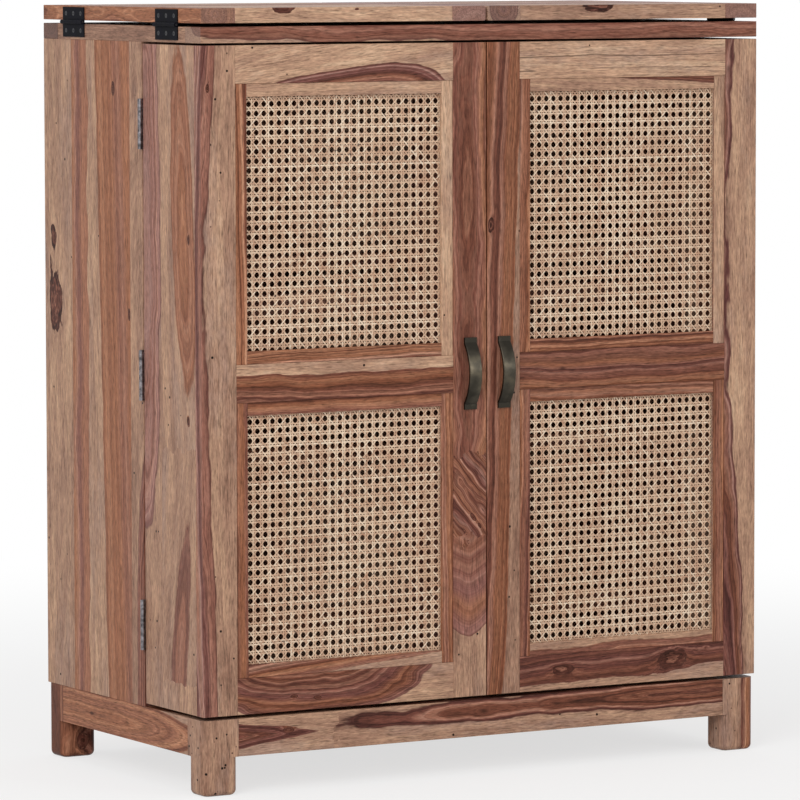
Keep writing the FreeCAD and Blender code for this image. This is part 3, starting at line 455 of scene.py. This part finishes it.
def log_by_chance(name, low, high, along, face, stave):
    """A log for a board that the photograph doesn't show, between its low and high corners."""
    chance = random.Random("log " + name)
    outward = OUTWARD[face]
    pith = [chance.uniform(a, b) for a, b in zip(low, high)]
    side = max(range(3), key=lambda i: abs(outward[i]))
    surface = high if sum(outward) > 0 else low
    pith[side] = surface[side] - outward[side] * chance.uniform(*HIDDEN_DEPTHS)
    slope = 0 if stave else chance.uniform(*SLOPES)
    looks = {key: chance.uniform(*span) for key, span in HIDDEN_LOGS.items()}
    return Log(along, face, pith, slope=slope, stave=stave, **looks)


# The boards that the photograph shows, each with the log that gives it its figure

FRONT = -228.5
SIDE = -450

LOGS = {
    # Left door, front frame
    "left_door_hinge_stile": Log(
        "z", "front", (-456, FRONT + 27, 600), bow=-0.1, heart=29.5, wander=6, warmth=0.15, shade=0.42,
        pale=0.4, knots=(((-440, FRONT, 967), 3),), pinholes=0.2),
    "left_door_top_rail": Log(
        "x", "front", (-224, FRONT + 5, 935), slope=6, bow=1.8, heart=57, wander=3, warmth=0.25, shade=0.6,
        pale=0.66),
    "left_door_middle_rail": Log(
        "x", "front", (-200, FRONT + 10, 470), heart=106, ring=9, wander=12, warmth=0.85, shade=0.58,
        pale=0.72, contrast=0.8),
    "left_door_bottom_rail": Log(
        "x", "front", (-277, FRONT + 10, 195), bow=3.6, sway=0.46, heart=95, ring=9, wander=16,
        warmth=0.45, shade=0.58, pale=0.5, knots=(((-309, FRONT, 130), 3), ((-272, FRONT, 126), 2.5))),
    # Right door, front frame
    "right_door_meeting_stile": Log(
        "z", "front", (-22, FRONT + 14, 560), slope=-2, heart=66, ring=9, wander=8, warmth=0.9, shade=0.49,
        pale=0.12, contrast=0.8, pinholes=0.25, knots=(((7, FRONT, 770), 4),)),
    "right_door_hinge_stile": Log(
        "z", "front", (391, FRONT + 44, 560), dive=1.3, bow=-0.08, heart=45, wander=8, warmth=0.25,
        shade=0.62, pale=0.45),
    "right_door_top_rail": Log(
        "x", "front", (200, FRONT + 60, 900), heart=0, ring=5, wander=6, pale=0.72, checks=1),
    "right_door_middle_rail": Log(
        "x", "front", (150, FRONT + 20, 430), heart=400, ring=8, wander=12, warmth=0.65, shade=0.57,
        contrast=0.75),
    "right_door_bottom_rail": Log(
        "x", "front", (230, FRONT + 10, 195), slope=2.2, heart=71, ring=8, wander=10, warmth=0.3,
        shade=0.65, pale=0.4, contrast=0.75, knots=(((126, FRONT, 138), 10), ((312, FRONT, 139), 13))),
    # Two beads
    "left_door_beads.lower_bottom": Log(
        "x", "front", (-225, FRONT + 10, 193), slope=5.4, heart=31, ring=5, wander=4, warmth=0.75,
        shade=0.42, pale=0.55),
    "right_door_beads.upper_top": Log(
        "x", "front", (225, FRONT + 10, 1002), slope=-3.3, heart=31, ring=5, wander=5, warmth=0.5,
        shade=0.6, pale=0.48),
    # Base
    "base_rail_left": Log(
        "y", "left", (SIDE + 4, 165, 76), bow=0.2, heart=32, ring=5, wander=4, warmth=0.85, shade=0.4,
        pale=0.4, contrast=0.7),
    "leg_front_left": Log("z", "front", (-380, FRONT + 60, 50), heart=0, wander=6, pale=0.32, pinholes=1),
    "leg_front_right": Log(
        "z", "front", (458, FRONT + 16, 50), heart=34, wander=8, warmth=0.6, shade=0.4, pale=0.4,
        pinholes=0.8),
    "leg_back_left": Log(
        "z", "left", (SIDE + 20, 225, 50), heart=200, wander=8, warmth=0.4, shade=0.66,
        knots=(((-418, 199.5, 24), 6),)),
    # Fixed top
    "bar_top_frame.front": Log(
        "x", "front", (0, FRONT - 5, 1074), slope=-0.9, heart=50, ring=15, wander=14, warmth=0.1,
        shade=0.52, pale=0.4, contrast=0.7),
    "bar_top_frame.back": Log(
        "x", "back", (0, 224, 1060), heart=70, ring=6, wander=6, warmth=0.3, shade=0.85, contrast=0.6),
    "bar_top_frame.left": Log("y", "left", (SIDE + 70, 0, 1000), heart=0, wander=8, pale=0.1),
    # Leaves
    "left_leaf_frame.outer": Log(
        "y", "left", (SIDE + 22, 0, 1067), heart=80, ring=4, wander=10, warmth=0.8, shade=0.48,
        contrast=0.7),
    "left_leaf_frame.inner": Log(
        "y", "front", (-20, FRONT, 1040), heart=140, ring=9, wander=6, warmth=0.1, shade=0.32,
        contrast=0.3),
    "left_leaf_frame.front": Log(
        "x", "front", (-200, FRONT + 60, 1100), heart=0, wander=6, pale=0.74,
        knots=(((-322, FRONT, 1076), 11), ((-207, FRONT, 1072), 1.6))),
    "right_leaf_frame.inner": Log(
        "y", "front", (28, FRONT, 1070), heart=24, ring=4, wander=2, warmth=0.3, shade=0.62, pale=0.3,
        contrast=0.9),
    "right_leaf_frame.outer": Log(
        "y", "front", (425, FRONT, 1040), heart=160, ring=9, wander=6, warmth=0.1, shade=0.36,
        contrast=0.3),
    "right_leaf_frame.front": Log(
        "x", "front", (200, FRONT + 60, 1100), heart=0, wander=6, pale=0.25,
        knots=(((190, FRONT, 1076), 12),)),
}

# Boards whose figure comes from several logs: where each next one starts along an axis, and over what
# distance it takes over, in millimetres
STRIPS = {
    "side_panel_left": (
        Log(
            "z", "left", (SIDE + 14, -62, 150), bow=0.18, heart=31, wander=6, warmth=0.1, shade=0.5,
            pale=0.28),
        ("Y", -18, 0.2, Log(
            "z", "left", (SIDE + 10, -20, 560), slope=2.2, heart=90, ring=14, wander=6, warmth=1,
            shade=0.4, pale=0.5, contrast=0.5, knots=(((SIDE, 32, 960), 5), ((SIDE, -14, 648), 4)))),
        ("Y", 97, 0.2, Log(
            "z", "left", (SIDE + 12, 172, 640), heart=60, ring=12, wander=14, warmth=0.6, shade=0.36,
            pale=0.45, contrast=0.5)),
        ("Y", 160, 0.2, Log(
            "z", "left", (SIDE + 60, 200, 500), heart=0, ring=8, wander=8, pale=0.4,
            knots=(((SIDE, 211, 652), 20), ((SIDE, 217, 745), 8)))),
        ("Y", 233, 0.2, Log("z", "left", (SIDE + 60, 300, 500), heart=0, wander=6, pale=0.45)),
    ),
    "left_door_hinge_side": (
        Log("z", "left", (SIDE + 60, -190, 149), heart=0, wander=6, pale=0.4),
        ("Z", 149, 14, Log(
            "z", "left", (SIDE + 57, -162, 190), slope=-6, bow=0.1, heart=61, ring=2.5, wander=2,
            warmth=0.5, shade=0.42, pale=0.38, contrast=0.7)),
        ("Z", 470, 20, Log(
            "z", "left", (SIDE + 51.4, -174, 783), slope=3.7, bow=0.16, heart=60, ring=2.6, wander=3.5,
            warmth=0.9, shade=0.38, pale=0.4, contrast=0.6,
            knots=(((SIDE, -191, 760), 3.5), ((SIDE, -189, 512), 3.5)))),
        ("Y", -110, 0.2, Log(
            "z", "left", (SIDE + 14, -66, 800), bow=0.12, heart=44, ring=9, wander=14, warmth=0.1,
            shade=0.23, pale=0.3, contrast=0.7)),
    ),
    "left_door_meeting_stile": (
        Log(
            "z", "front", (-28, FRONT + 6, 195), taper=1.5, heart=0, ring=30, wander=18, warmth=0.35,
            shade=0.42, pale=0.4, contrast=0.55, pinholes=0.4),
        ("Z", 335, 45, Log(
            "z", "front", (-30, FRONT + 20, 400), slope=38, heart=200, ring=5, wander=24, warmth=0.5,
            shade=0.5, knots=(((-22, FRONT, 362), 3.5), ((-12, FRONT, 350), 2.5)))),
        ("Z", 450, 45, Log(
            "z", "front", (-30, FRONT + 12, 760), bow=0.1, heart=200, ring=9, wander=14, warmth=0.6,
            shade=0.5, contrast=0.8)),
    ),
    "base_rail_front": (
        Log(
            "x", "front", (-274, FRONT + 2, 80), taper=-0.13, heart=2, ring=5, wander=5, warmth=0.5,
            shade=0.6, pale=0.38, knots=(((-318, FRONT, 84), 4.5),)),
        ("X", -242, 20, Log(
            "x", "front", (120, FRONT + 8, 90), slope=0.3, dive=-1.8, heart=20, wander=7, ring=5,
            warmth=0.5, shade=0.63, pale=0.34)),
    ),
}


def paint(node, materials, choose=None):
    """Gives a CAD node its materials, one for all of it or by where each face lies, in millimetres."""
    mesh = NODES[node].data
    mesh.materials.clear()
    for material in materials:
        mesh.materials.append(material)
    for face in mesh.polygons:
        face.material_index = choose(face.center / MM) if choose else 0


def wood_of(name, low, high, along, face, stave):
    """The material of one board, from its own log or, where the photograph doesn't show it, any log."""
    if name in STRIPS:
        first, *others = STRIPS[name]
        return sheesham(name, first, others)
    return sheesham(name, LOGS.get(name) or log_by_chance(name, low, high, along, face, stave))


def paint_boards(node, lie, choose=None, stave=0):
    """Gives each board of a node its own wood. lie names the boards, with their grain and best face."""
    mesh = NODES[node].data
    names = list(lie)
    corners = {name: [] for name in names}
    for face in mesh.polygons:
        name = choose(face.center / MM) if choose else names[0]
        corners[name] += [mesh.vertices[i].co / MM for i in face.vertices]
    woods = []
    for name, (along, face) in lie.items():
        low, high = ([pick(c[i] for c in corners[name]) for i in range(3)] for pick in (min, max))
        woods.append(wood_of(f"{node}.{name}" if name else node, low, high, along, face, stave))
    paint(node, woods, lambda middle: names.index(choose(middle)) if choose else 0)


# Beads: narrow strips that hold the cane, each from an offcut of its own. outer is on the hinge's side.
BEAD_WOODS = {
    "tan": dict(heart=0, pale=0.55), "pale": dict(heart=0, pale=0.8),
    "orange": dict(heart=400, warmth=0.95, shade=0.4), "red": dict(heart=400, warmth=0.7, shade=0.46),
    "dark": dict(heart=400, warmth=0.9, shade=0.54), "streaked": dict(warmth=0.75, shade=0.45, pale=0.55),
}
BEAD_PLACES = ("outer", "top", "inner", "bottom")
BEAD_NAMES = [f"{half}_{place}" for half in ("upper", "lower") for place in BEAD_PLACES]
BEADS = {
    "left": ("orange", "tan", "pale", "orange", "red", "red", "orange", "streaked"),
    "right": ("tan", "streaked", "orange", "dark", "orange", "red", "red", "streaked"),
}
# Where beads and openings lie, and between what the values of a bead's log lie, in millimetres
DOOR_MIDDLE = 564
BEAD_UPRIGHTS = (72, 379)
STREAK_SHIFT = 1.5
OPENING_MIDDLES = {"upper": 781, "lower": 349}
OPENING_ENDS = {"upper": (599, 963), "lower": (169, 529)}
BEAD_MIDDLES = {"outer": 388, "inner": 63, "top": 225, "bottom": 225}
BEAD_PITHS_OFF = (18, 45)
BEAD_PITHS_DEEP = (10, 30)
BEAD_RINGS = (4, 7)
BEAD_WANDERS = (4, 10)


def bead_of(middle):
    """Which bead of a door a face belongs to, by its middle in millimetres."""
    half = "upper" if middle.z > DOOR_MIDDLE else "lower"
    if abs(middle.x) > BEAD_UPRIGHTS[1]:
        return half + "_outer"
    if abs(middle.x) < BEAD_UPRIGHTS[0]:
        return half + "_inner"
    return half + ("_top" if middle.z > OPENING_MIDDLES[half] else "_bottom")


def bead_log(side, name, wood):
    """A bead's log: its pith lies some way off, so that the lines run straight along it.

    A streaked bead has the edge of the heart along it.
    """
    chance = random.Random(f"bead {side} {name}")
    half, place = name.split("_")
    low, high = OPENING_ENDS[half]
    x = BEAD_MIDDLES[place]
    z = {"top": high, "bottom": low}.get(place, OPENING_MIDDLES[half])
    level = place in ("top", "bottom")
    off = chance.choice((-1, 1)) * chance.uniform(*BEAD_PITHS_OFF)
    deep = chance.uniform(*BEAD_PITHS_DEEP)
    pith = [x if side == "right" else -x, FRONT + deep, z]
    pith[2 if level else 0] += off
    looks = {"heart": math.hypot(off, deep) - STREAK_SHIFT} | BEAD_WOODS[wood]
    return Log("x" if level else "z", "front", pith, slope=chance.uniform(*SLOPES),
               ring=chance.uniform(*BEAD_RINGS), wander=chance.uniform(*BEAD_WANDERS), **looks)


# How large the patterns on metal, plastic and rattan are, in millimetres
PATINA = 22
CASTING_GRIT = 1.1
PLATING_PATCHES = 6
SCRATCHES = (0.4, 0.4, 4.5)
ORANGE_PEEL = 2
DUST = 14
SPARK_GRAIN = 0.8
BLOOM = 8
BLUSHES = 14
SCARS = 6
# Painted light on the brass: how much its colour is raised on its feet, where it is painted shade, and on
# its crown, where it is a painted highlight, and how far forward of the door these start
PAINTED_SHADE_AND_HIGHLIGHT = (-0.18, 0.05)
PAINTED_SHADE_FORWARD = 4
PAINTED_HIGHLIGHT_FORWARD = 17


# Antique brass: cast, darkened in a bath and rubbed back by hand. It is a dark greenish bronze with a soft
# broad shine. Its colour has painted shade on the feet, by the door, and a faint painted highlight on the
# crown of the bow.
def antique_brass():
    material, node, where = new_material("antique_brass")
    patina_and_painted_light = node("TexNoise", {"Vector": where, "Scale": per_metre(PATINA), "Detail": 3, "Roughness": 0.5})
    # Painted shade and highlight: the colour is darker on the feet near the door and lighter on the crown
    # further forward
    fore = node("SeparateXYZ", [where]).node.outputs["Y"]
    painted_light = node("MapRange", {"Value": fore, "From Min": (FRONT - PAINTED_SHADE_FORWARD) * MM,
                            "From Max": (FRONT - PAINTED_HIGHLIGHT_FORWARD) * MM, "To Min": PAINTED_SHADE_AND_HIGHLIGHT[0], "To Max": PAINTED_SHADE_AND_HIGHLIGHT[1]})
    patina_and_painted_light = node("Math", [patina_and_painted_light, painted_light], "ADD")
    colour = node("ValToRGB", [patina_and_painted_light], stops=((0.3, "#322F29"), (0.5, "#423E36"), (0.7, "#595245")))
    rough = node("MapRange", {"Value": patina_and_painted_light, **NOISE_RANGE, "To Min": 0.42, "To Max": 0.34})
    grit = node("TexNoise", {"Vector": where, "Scale": per_metre(CASTING_GRIT), "Detail": 2})
    looks = {"Base Color": colour, "Metallic": 1, "Roughness": rough}
    return end_material(material, node, looks, grit, depth=0.08, strength=0.2)


# Zinc-plated steel: stamped from strip and tumbled. It is grey, with fine scratches and duller patches.
def zinc_plated_steel():
    material, node, where = new_material("zinc_plated_steel")
    patches = node("TexNoise", {"Vector": where, "Scale": per_metre(PLATING_PATCHES), "Detail": 3})
    scratched = [per_metre(size) for size in SCRATCHES]
    stretched = node("VectorMath", [where, scratched], "MULTIPLY")
    scratches = node("TexNoise", {"Vector": stretched, "Scale": 1, "Detail": 2})
    colour = node("ValToRGB", [patches], stops=((0.35, "#4B494B"), (0.65, "#908B8E")))
    rough = node("MapRange", {"Value": scratches, **NOISE_RANGE, "To Min": 0.28, "To Max": 0.48})
    looks = {"Base Color": colour, "Metallic": 1, "Roughness": rough}
    return end_material(material, node, looks, scratches, depth=0.05, strength=0.2)


# Black enamel on stamped steel: sprayed and baked. It is a dull black with a slight orange peel, and it
# shines more on the screws and pins, which are rubbed.
def black_enamel(name, shine):
    material, node, where = new_material(name)
    peel = node("TexNoise", {"Vector": where, "Scale": per_metre(ORANGE_PEEL), "Detail": 2})
    dust = node("TexNoise", {"Vector": where, "Scale": per_metre(DUST), "Detail": 3})
    colour = node("ValToRGB", [dust], stops=((0.35, "#09090E"), (0.7, "#16161D")))
    rough = node("MapRange", {"Value": dust, **NOISE_RANGE, "To Min": 0.4, "To Max": 0.55})
    looks = {"Base Color": colour, "Roughness": rough, "IOR": 1.5, "Specular IOR Level": shine}
    return end_material(material, node, looks, peel, depth=0.06, strength=0.3)


# Rubber and brown ABS are moulded: both are matt, with a fine spark-eroded grain from the mould.
def moulded(name, dark, light, rough):
    material, node, where = new_material(name)
    grain = node("TexNoise", {"Vector": where, "Scale": per_metre(SPARK_GRAIN), "Detail": 2})
    bloom = node("TexNoise", {"Vector": where, "Scale": per_metre(BLOOM), "Detail": 3})
    colour = node("ValToRGB", [bloom], stops=((0.35, dark), (0.7, light)))
    rough = node("MapRange",
                 {"Value": grain, **NOISE_RANGE, "To Min": rough - 0.08, "To Max": rough + 0.08})
    looks = {"Base Color": colour, "Roughness": rough, "IOR": 1.5}
    return end_material(material, node, looks, grain, depth=0.08, strength=0.3)


# Rattan peel, woven by machine into cane webbing: glossy straw strands that differ in tone one from the
# next, with blushes of red-brown and dark scars where a leaf grew.
def rattan_peel():
    material, node, where = new_material("rattan_peel")
    strand = node("NewGeometry").node.outputs["Random Per Island"]
    colour = node("ValToRGB", [strand],
                  stops=((0, "#BA967C"), (0.35, "#D0AE91"), (0.75, "#E0C5A9"), (1, "#ECD7BE")))
    blush = node("TexNoise",
                 {"Vector": where, "Scale": per_metre(BLUSHES), "Detail": 4, "Roughness": 0.65})
    blush = node("MapRange", {"Value": blush, "From Min": 0.5, "From Max": 0.7, "To Max": 0.5})
    colour = node("Mix", [blush, colour, linear("#B17C5C")], data_type="RGBA")
    scar = node("TexNoise", {"Vector": where, "Scale": per_metre(SCARS), "Detail": 1})
    scar = node("MapRange", {"Value": scar, "From Min": 0.69, "From Max": 0.73, "To Max": 0.85})
    colour = node("Mix", [scar, colour, linear("#4A3226")], data_type="RGBA")
    surface = node("BsdfPrincipled",
                   {"Base Color": colour, "Roughness": 0.42, "IOR": 1.5, "Specular IOR Level": 0.4})
    node("OutputMaterial", {"Surface": surface})
    return material


# Every CAD node gets its finish

OPPOSITE = {"left": "right", "right": "left"}
# Where one board ends and the next begins, and how wide staves are, in millimetres
TOP_FRAME_DEPTHS = (-183.5, 201.5)
LEAF_STILES = (54.8, 397)
BOX_BOARD_CUTS = (300, 800)
SHELF_CUTS = (580,)
GLASS_RAIL_CUTS = (-157, -52, 52, 157)
STAVE_WIDTH = 74
VENEER_WIDTH = 150


def cut_at(axis, cuts):
    """A choice of board by number: how many of the cuts along an axis, in millimetres, a face lies past."""
    return lambda middle: str(sum(middle[axis] > cut for cut in cuts))


def numbered(count, along, face):
    """Boards that lie alike, named by number."""
    return {str(i): (along, face) for i in range(count)}


def leaf_piece(middle):
    """Which piece of a leaf's frame a face belongs to."""
    if abs(middle.x) > LEAF_STILES[1]:
        return "outer"
    if abs(middle.x) < LEAF_STILES[0]:
        return "inner"
    return "front" if middle.y < 0 else "back"


def top_piece(middle):
    """Which piece of the fixed top's frame a face belongs to."""
    if middle.y < TOP_FRAME_DEPTHS[0]:
        return "front"
    if middle.y > TOP_FRAME_DEPTHS[1]:
        return "back"
    return "left" if middle.x < 0 else "right"


for side in ("left", "right"):
    door = side + "_door_"
    for part in ("hinge_stile", "meeting_stile"):
        paint_boards(door + part, {"": ("z", "front")})
    for part in ("top_rail", "middle_rail", "bottom_rail"):
        paint_boards(door + part, {"": ("x", "front")})
    paint_boards(door + "hinge_side", {"": ("z", side)}, stave=STAVE_WIDTH)
    paint_boards(door + "meeting_side", {"": ("z", OPPOSITE[side])}, stave=STAVE_WIDTH)
    paint_boards(door + "box_boards", numbered(3, "x", "top"), cut_at(2, BOX_BOARD_CUTS))
    paint_boards(door + "bottle_rails", numbered(2, "x", "back"), cut_at(2, (DOOR_MIDDLE,)))
    woods = []
    for name, wood in zip(BEAD_NAMES, BEADS[side]):
        bead = f"{door}beads.{name}"
        woods.append(sheesham(bead, LOGS.get(bead) or bead_log(side, name, wood)))
    paint(door + "beads", woods, lambda middle: BEAD_NAMES.index(bead_of(middle)))
    paint_boards(side + "_leaf_panel", {"": ("x", "top")}, stave=STAVE_WIDTH)
    stiles = {name: ("y", "top") for name in ("outer", "inner")}
    rails = {name: ("x", "top") for name in ("front", "back")}
    paint_boards(side + "_leaf_frame", stiles | rails, leaf_piece)
    paint_boards("side_panel_" + side, {"": ("z", side)}, stave=STAVE_WIDTH)
    paint_boards("base_rail_" + side, {"": ("y", side)})
    for end in ("front", "back"):
        paint_boards(f"leg_{end}_{side}", {"": ("z", end)})

for end in ("front", "back"):
    paint_boards("base_rail_" + end, {"": ("x", end)})
ends = {name: ("y", name) for name in ("left", "right")}
rails = {name: ("x", name) for name in ("front", "back")}
paint_boards("bar_top_frame", ends | rails, top_piece)
paint_boards("bar_top_panel", {"": ("x", "top")}, stave=STAVE_WIDTH)
paint_boards("back_panel", {"": ("z", "back")}, stave=VENEER_WIDTH)
paint_boards("floor_panel", {"": ("x", "top")}, stave=VENEER_WIDTH)
paint_boards("inner_shelves", numbered(2, "x", "top"), cut_at(2, SHELF_CUTS), stave=STAVE_WIDTH)
paint_boards("glass_rails", numbered(5, "y", "under"), cut_at(0, GLASS_RAIL_CUTS))

BRASS = antique_brass()
STEEL = zinc_plated_steel()
ENAMEL = black_enamel("black_enamel", 0.03)
RUBBED_ENAMEL = black_enamel("black_enamel_rubbed", 0.5)
RUBBER = moulded("moulded_rubber", "#181716", "#2B2927", 0.8)
ABS = moulded("moulded_brown_abs", "#2C1E17", "#46342A", 0.55)
LEAF_HINGES_START = 1000

for side in ("left", "right"):
    paint(side + "_door_handle", [BRASS])
    for part in ("_door_hinge_plates", "_door_screws", "_door_strike"):
        paint(side + part, [STEEL])
    paint(side + "_leaf_hinge_plates", [ENAMEL])
    paint(side + "_leaf_screws", [RUBBED_ENAMEL])
paint("door_hinge_body_plates", [STEEL])
paint("leaf_hinge_top_plates", [ENAMEL])
for node in ("hinge_pins", "cabinet_screws"):
    paint(node, [STEEL, RUBBED_ENAMEL], lambda middle: int(middle.z > LEAF_HINGES_START))
paint("leaf_rest_pads", [RUBBER])
paint("door_catches", [ABS])


# Cane webbing, strand by strand. Uprights and levels run in pairs and weave over and under each other, and
# a slanting strand each way passes over one kind of pair and under the other. That leaves eight-sided
# holes.

CANE_PITCH = (11.774, 12.95)
CANE_HOLES = {"upper": 944.3, "lower": 510.6}
OPENING_CENTRE = 225.5
UPRIGHTS_APART = 1.4
LEVELS_APART = 1.65
STRAND_WIDTH = 2.2
SLANT_WIDTH = 1.9
STRAND_DEPTH = 0.42
PAIR_SWING = 0.25
SLANT_SWING = 0.56
# Half a strand's section: how far out, as a share of its width, and whether at its front
STRAND_SECTION = ((-0.5, 0), (-0.3, 1), (0.3, 1), (0.5, 0))


def strand(points, faces, path, width, depth):
    """Adds one closed ribbon along a path of (across, up, forward) places, in millimetres."""
    first = len(points)
    run = Vector(path[-1][:2]) - Vector(path[0][:2])
    side = Vector((run.y, -run.x)).normalized() * width
    count = len(STRAND_SECTION)
    for x, z, forward in path:
        for out, front in STRAND_SECTION:
            y = depth - forward - (front - 0.5) * STRAND_DEPTH
            points.append((x + side.x * out, y, z + side.y * out))
    for i in range(first, len(points) - count, count):
        for k in range(count):
            after = (k + 1) % count
            faces.append((i + k, i + after, i + count + after, i + count + k))
    faces.append(tuple(range(first + count - 1, first - 1, -1)))
    faces.append(tuple(range(len(points) - count, len(points))))


def grid_lines(start, pitch, low, high):
    """Every place a whole number of pitches from start, between low and high."""
    first = math.ceil((low - start) / pitch)
    last = int((high - start) // pitch)
    return [start + k * pitch for k in range(first, last + 1)]


def pair_path(low, high, crossings, apart, own):
    """A paired strand's (place, forward) along its run: it swaps sides between the strands it crosses."""
    path = [(low, 0)]
    for crossing in crossings:
        for other in (-1, 1):
            path.append((crossing + other * apart, own * other * PAIR_SWING))
    path += [((a + b) / 2, 0) for a, b in zip(crossings, crossings[1:])] + [(high, 0)]
    return sorted(path)


def cane_sheet(low, high, hole):
    """The strands of one sheet of cane, as a mesh. low and high are its corners, hole one hole's middle."""
    points, faces = [], []
    depth = (low.y + high.y) / 2
    edge = LEVELS_APART + STRAND_WIDTH / 2
    uprights = grid_lines(hole[0] + CANE_PITCH[0] / 2, CANE_PITCH[0], low.x + edge, high.x - edge)
    levels = grid_lines(hole[1] + CANE_PITCH[1] / 2, CANE_PITCH[1], low.z + edge, high.z - edge)
    for own in (-1, 1):
        for x in uprights:
            path = pair_path(low.z, high.z, levels, LEVELS_APART, own)
            path = [(x + own * UPRIGHTS_APART, z, fore) for z, fore in path]
            strand(points, faces, path, STRAND_WIDTH, depth)
        for z in levels:
            path = pair_path(low.x, high.x, uprights, UPRIGHTS_APART, -own)
            path = [(x, z + own * LEVELS_APART, fore) for x, fore in path]
            strand(points, faces, path, STRAND_WIDTH, depth)
    columns = math.ceil((high.x - low.x) / CANE_PITCH[0])
    rows = math.ceil((high.z - low.z) / CANE_PITCH[1])
    inset = SLANT_WIDTH / 2
    for lean in (-1, 1):
        for line in range(-columns - rows, columns + rows):
            path = []
            for quarter in range(-4 * columns, 4 * columns):
                x = hole[0] + quarter / 4 * CANE_PITCH[0]
                z = hole[1] + (lean * quarter / 4 - line - 0.5) * CANE_PITCH[1]
                if low.x + inset < x < high.x - inset and low.z + inset < z < high.z - inset:
                    forward = -lean * SLANT_SWING * math.cos(math.pi * quarter / 2)
                    path.append((x, z, forward))
            if len(path) > 1:
                strand(points, faces, path, SLANT_WIDTH, depth)
    return [Vector(point) * MM for point in points], faces


RATTAN = rattan_peel()
for side, sign in (("left", -1), ("right", 1)):
    node = side + "_door_cane"
    low, high = (Vector(corner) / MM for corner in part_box(node))
    for half, hole in CANE_HOLES.items():
        heights = [corner.co.z / MM for corner in NODES[node].data.vertices]
        inner = [z for z in heights if (z > DOOR_MIDDLE) == (half == "upper")]
        corners = Vector((low.x, low.y, min(inner))), Vector((high.x, high.y, max(inner)))
        points, faces = cane_sheet(*corners, (sign * OPENING_CENTRE + CANE_PITCH[0] / 2, hole))
        mesh = bpy.data.meshes.new(f"{node}_{half}")
        mesh.from_pydata(points, [], faces)
        mesh.polygons.foreach_set("use_smooth", [True] * len(faces))
        mesh.materials.append(RATTAN)
        sheet = put(f"{node}_{half}", mesh)
        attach(sheet, side + "_door")
        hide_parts(node)


# Floor, light and camera

FLOOR_SIZE = 40
# Near the object the floor shows some of its shadow. It fades to white between these distances, in metres.
FLOOR_FADE = (0.7, 2.6)
FLOOR_NEAR = 0.68
AMBIENT = 0.5
# Each lamp's name, place and size in metres, and watts
LAMPS = (
    ("key", (-4.4, -3.6, 3.0), 3, 166),
    ("fill", (2.6, -4.5, 1.6), 1.4, 34),
    ("top", (0, 0.3, 4), 3, 15),
)
CAMERA_PLACE = (-3.9606, -6.8294, 1.1707)
CAMERA_LENS = 248.8
# Yaw, pitch and roll in degrees
CAMERA_TURN = (30.07, 4.79, -0.097)


def backdrop_seen(node):
    """1 where the backdrop is seen, straight on, mirrored or through glass, and 0 where it gives light."""
    rays = node("LightPath").node.outputs
    seen = node("Math", [rays["Is Camera Ray"], rays["Is Glossy Ray"]], "MAXIMUM")
    return node("Math", [seen, rays["Is Transmission Ray"]], "MAXIMUM")


def studio():
    """A white floor and world for the camera, and soft light from large lamps."""
    bpy.context.scene.view_settings.view_transform = "Standard"
    material, node, where = new_material("studio_floor")
    away = node("VectorMath", [where], "LENGTH")
    share = node("MapRange", {"Value": away, "From Min": FLOOR_FADE[0], "From Max": FLOOR_FADE[1],
                              "To Min": FLOOR_NEAR}, interpolation_type="SMOOTHSTEP")
    seen = node("Math", [backdrop_seen(node), share], "MULTIPLY")
    paper = node("BsdfDiffuse", {"Color": linear("#F4F4F4")})
    white = node("Emission", {"Color": (1, 1, 1, 1), "Strength": 1})
    node("OutputMaterial", {"Surface": node("MixShader", [seen, paper, white])})
    mesh = bpy.data.meshes.new("floor")
    half = FLOOR_SIZE / 2
    corners = [(x * half, y * half, 0) for x, y in ((-1, -1), (1, -1), (1, 1), (-1, 1))]
    mesh.from_pydata(corners, [], [(0, 1, 2, 3)])
    mesh.materials.append(material)
    floor = put("floor", mesh)

    world = bpy.data.worlds.new("studio")
    world.use_nodes = True
    world.node_tree.nodes.clear()
    node = partial(add, world.node_tree)
    strength = node("MapRange", {"Value": backdrop_seen(node), "To Min": AMBIENT, "To Max": 1})
    node("OutputWorld", {"Surface": node("Background", {"Color": (1, 1, 1, 1), "Strength": strength})})
    bpy.context.scene.world = world

    centre = (Vector(CAD_BOX[0]) + Vector(CAD_BOX[1])) / 2
    for name, place, size, power in LAMPS:
        lamp = bpy.data.lights.new(name, "AREA")
        lamp.size = size
        lamp.energy = power
        holder = put(name, lamp)
        holder.location = place
        holder.rotation_euler = (centre - Vector(place)).to_track_quat("-Z", "Y").to_euler()


def camera():
    """The camera at the photograph's place: a long lens, thirty degrees round to the left."""
    lens = bpy.data.cameras.new("camera")
    lens.sensor_width = 36
    lens.lens = CAMERA_LENS
    lens.clip_end = 100
    holder = put("camera", lens)
    holder.location = CAMERA_PLACE
    yaw, pitch, roll = (math.radians(angle) for angle in CAMERA_TURN)
    holder.rotation_euler = (math.pi / 2 - pitch, -roll, -yaw)
    bpy.context.scene.camera = holder


studio()
camera()
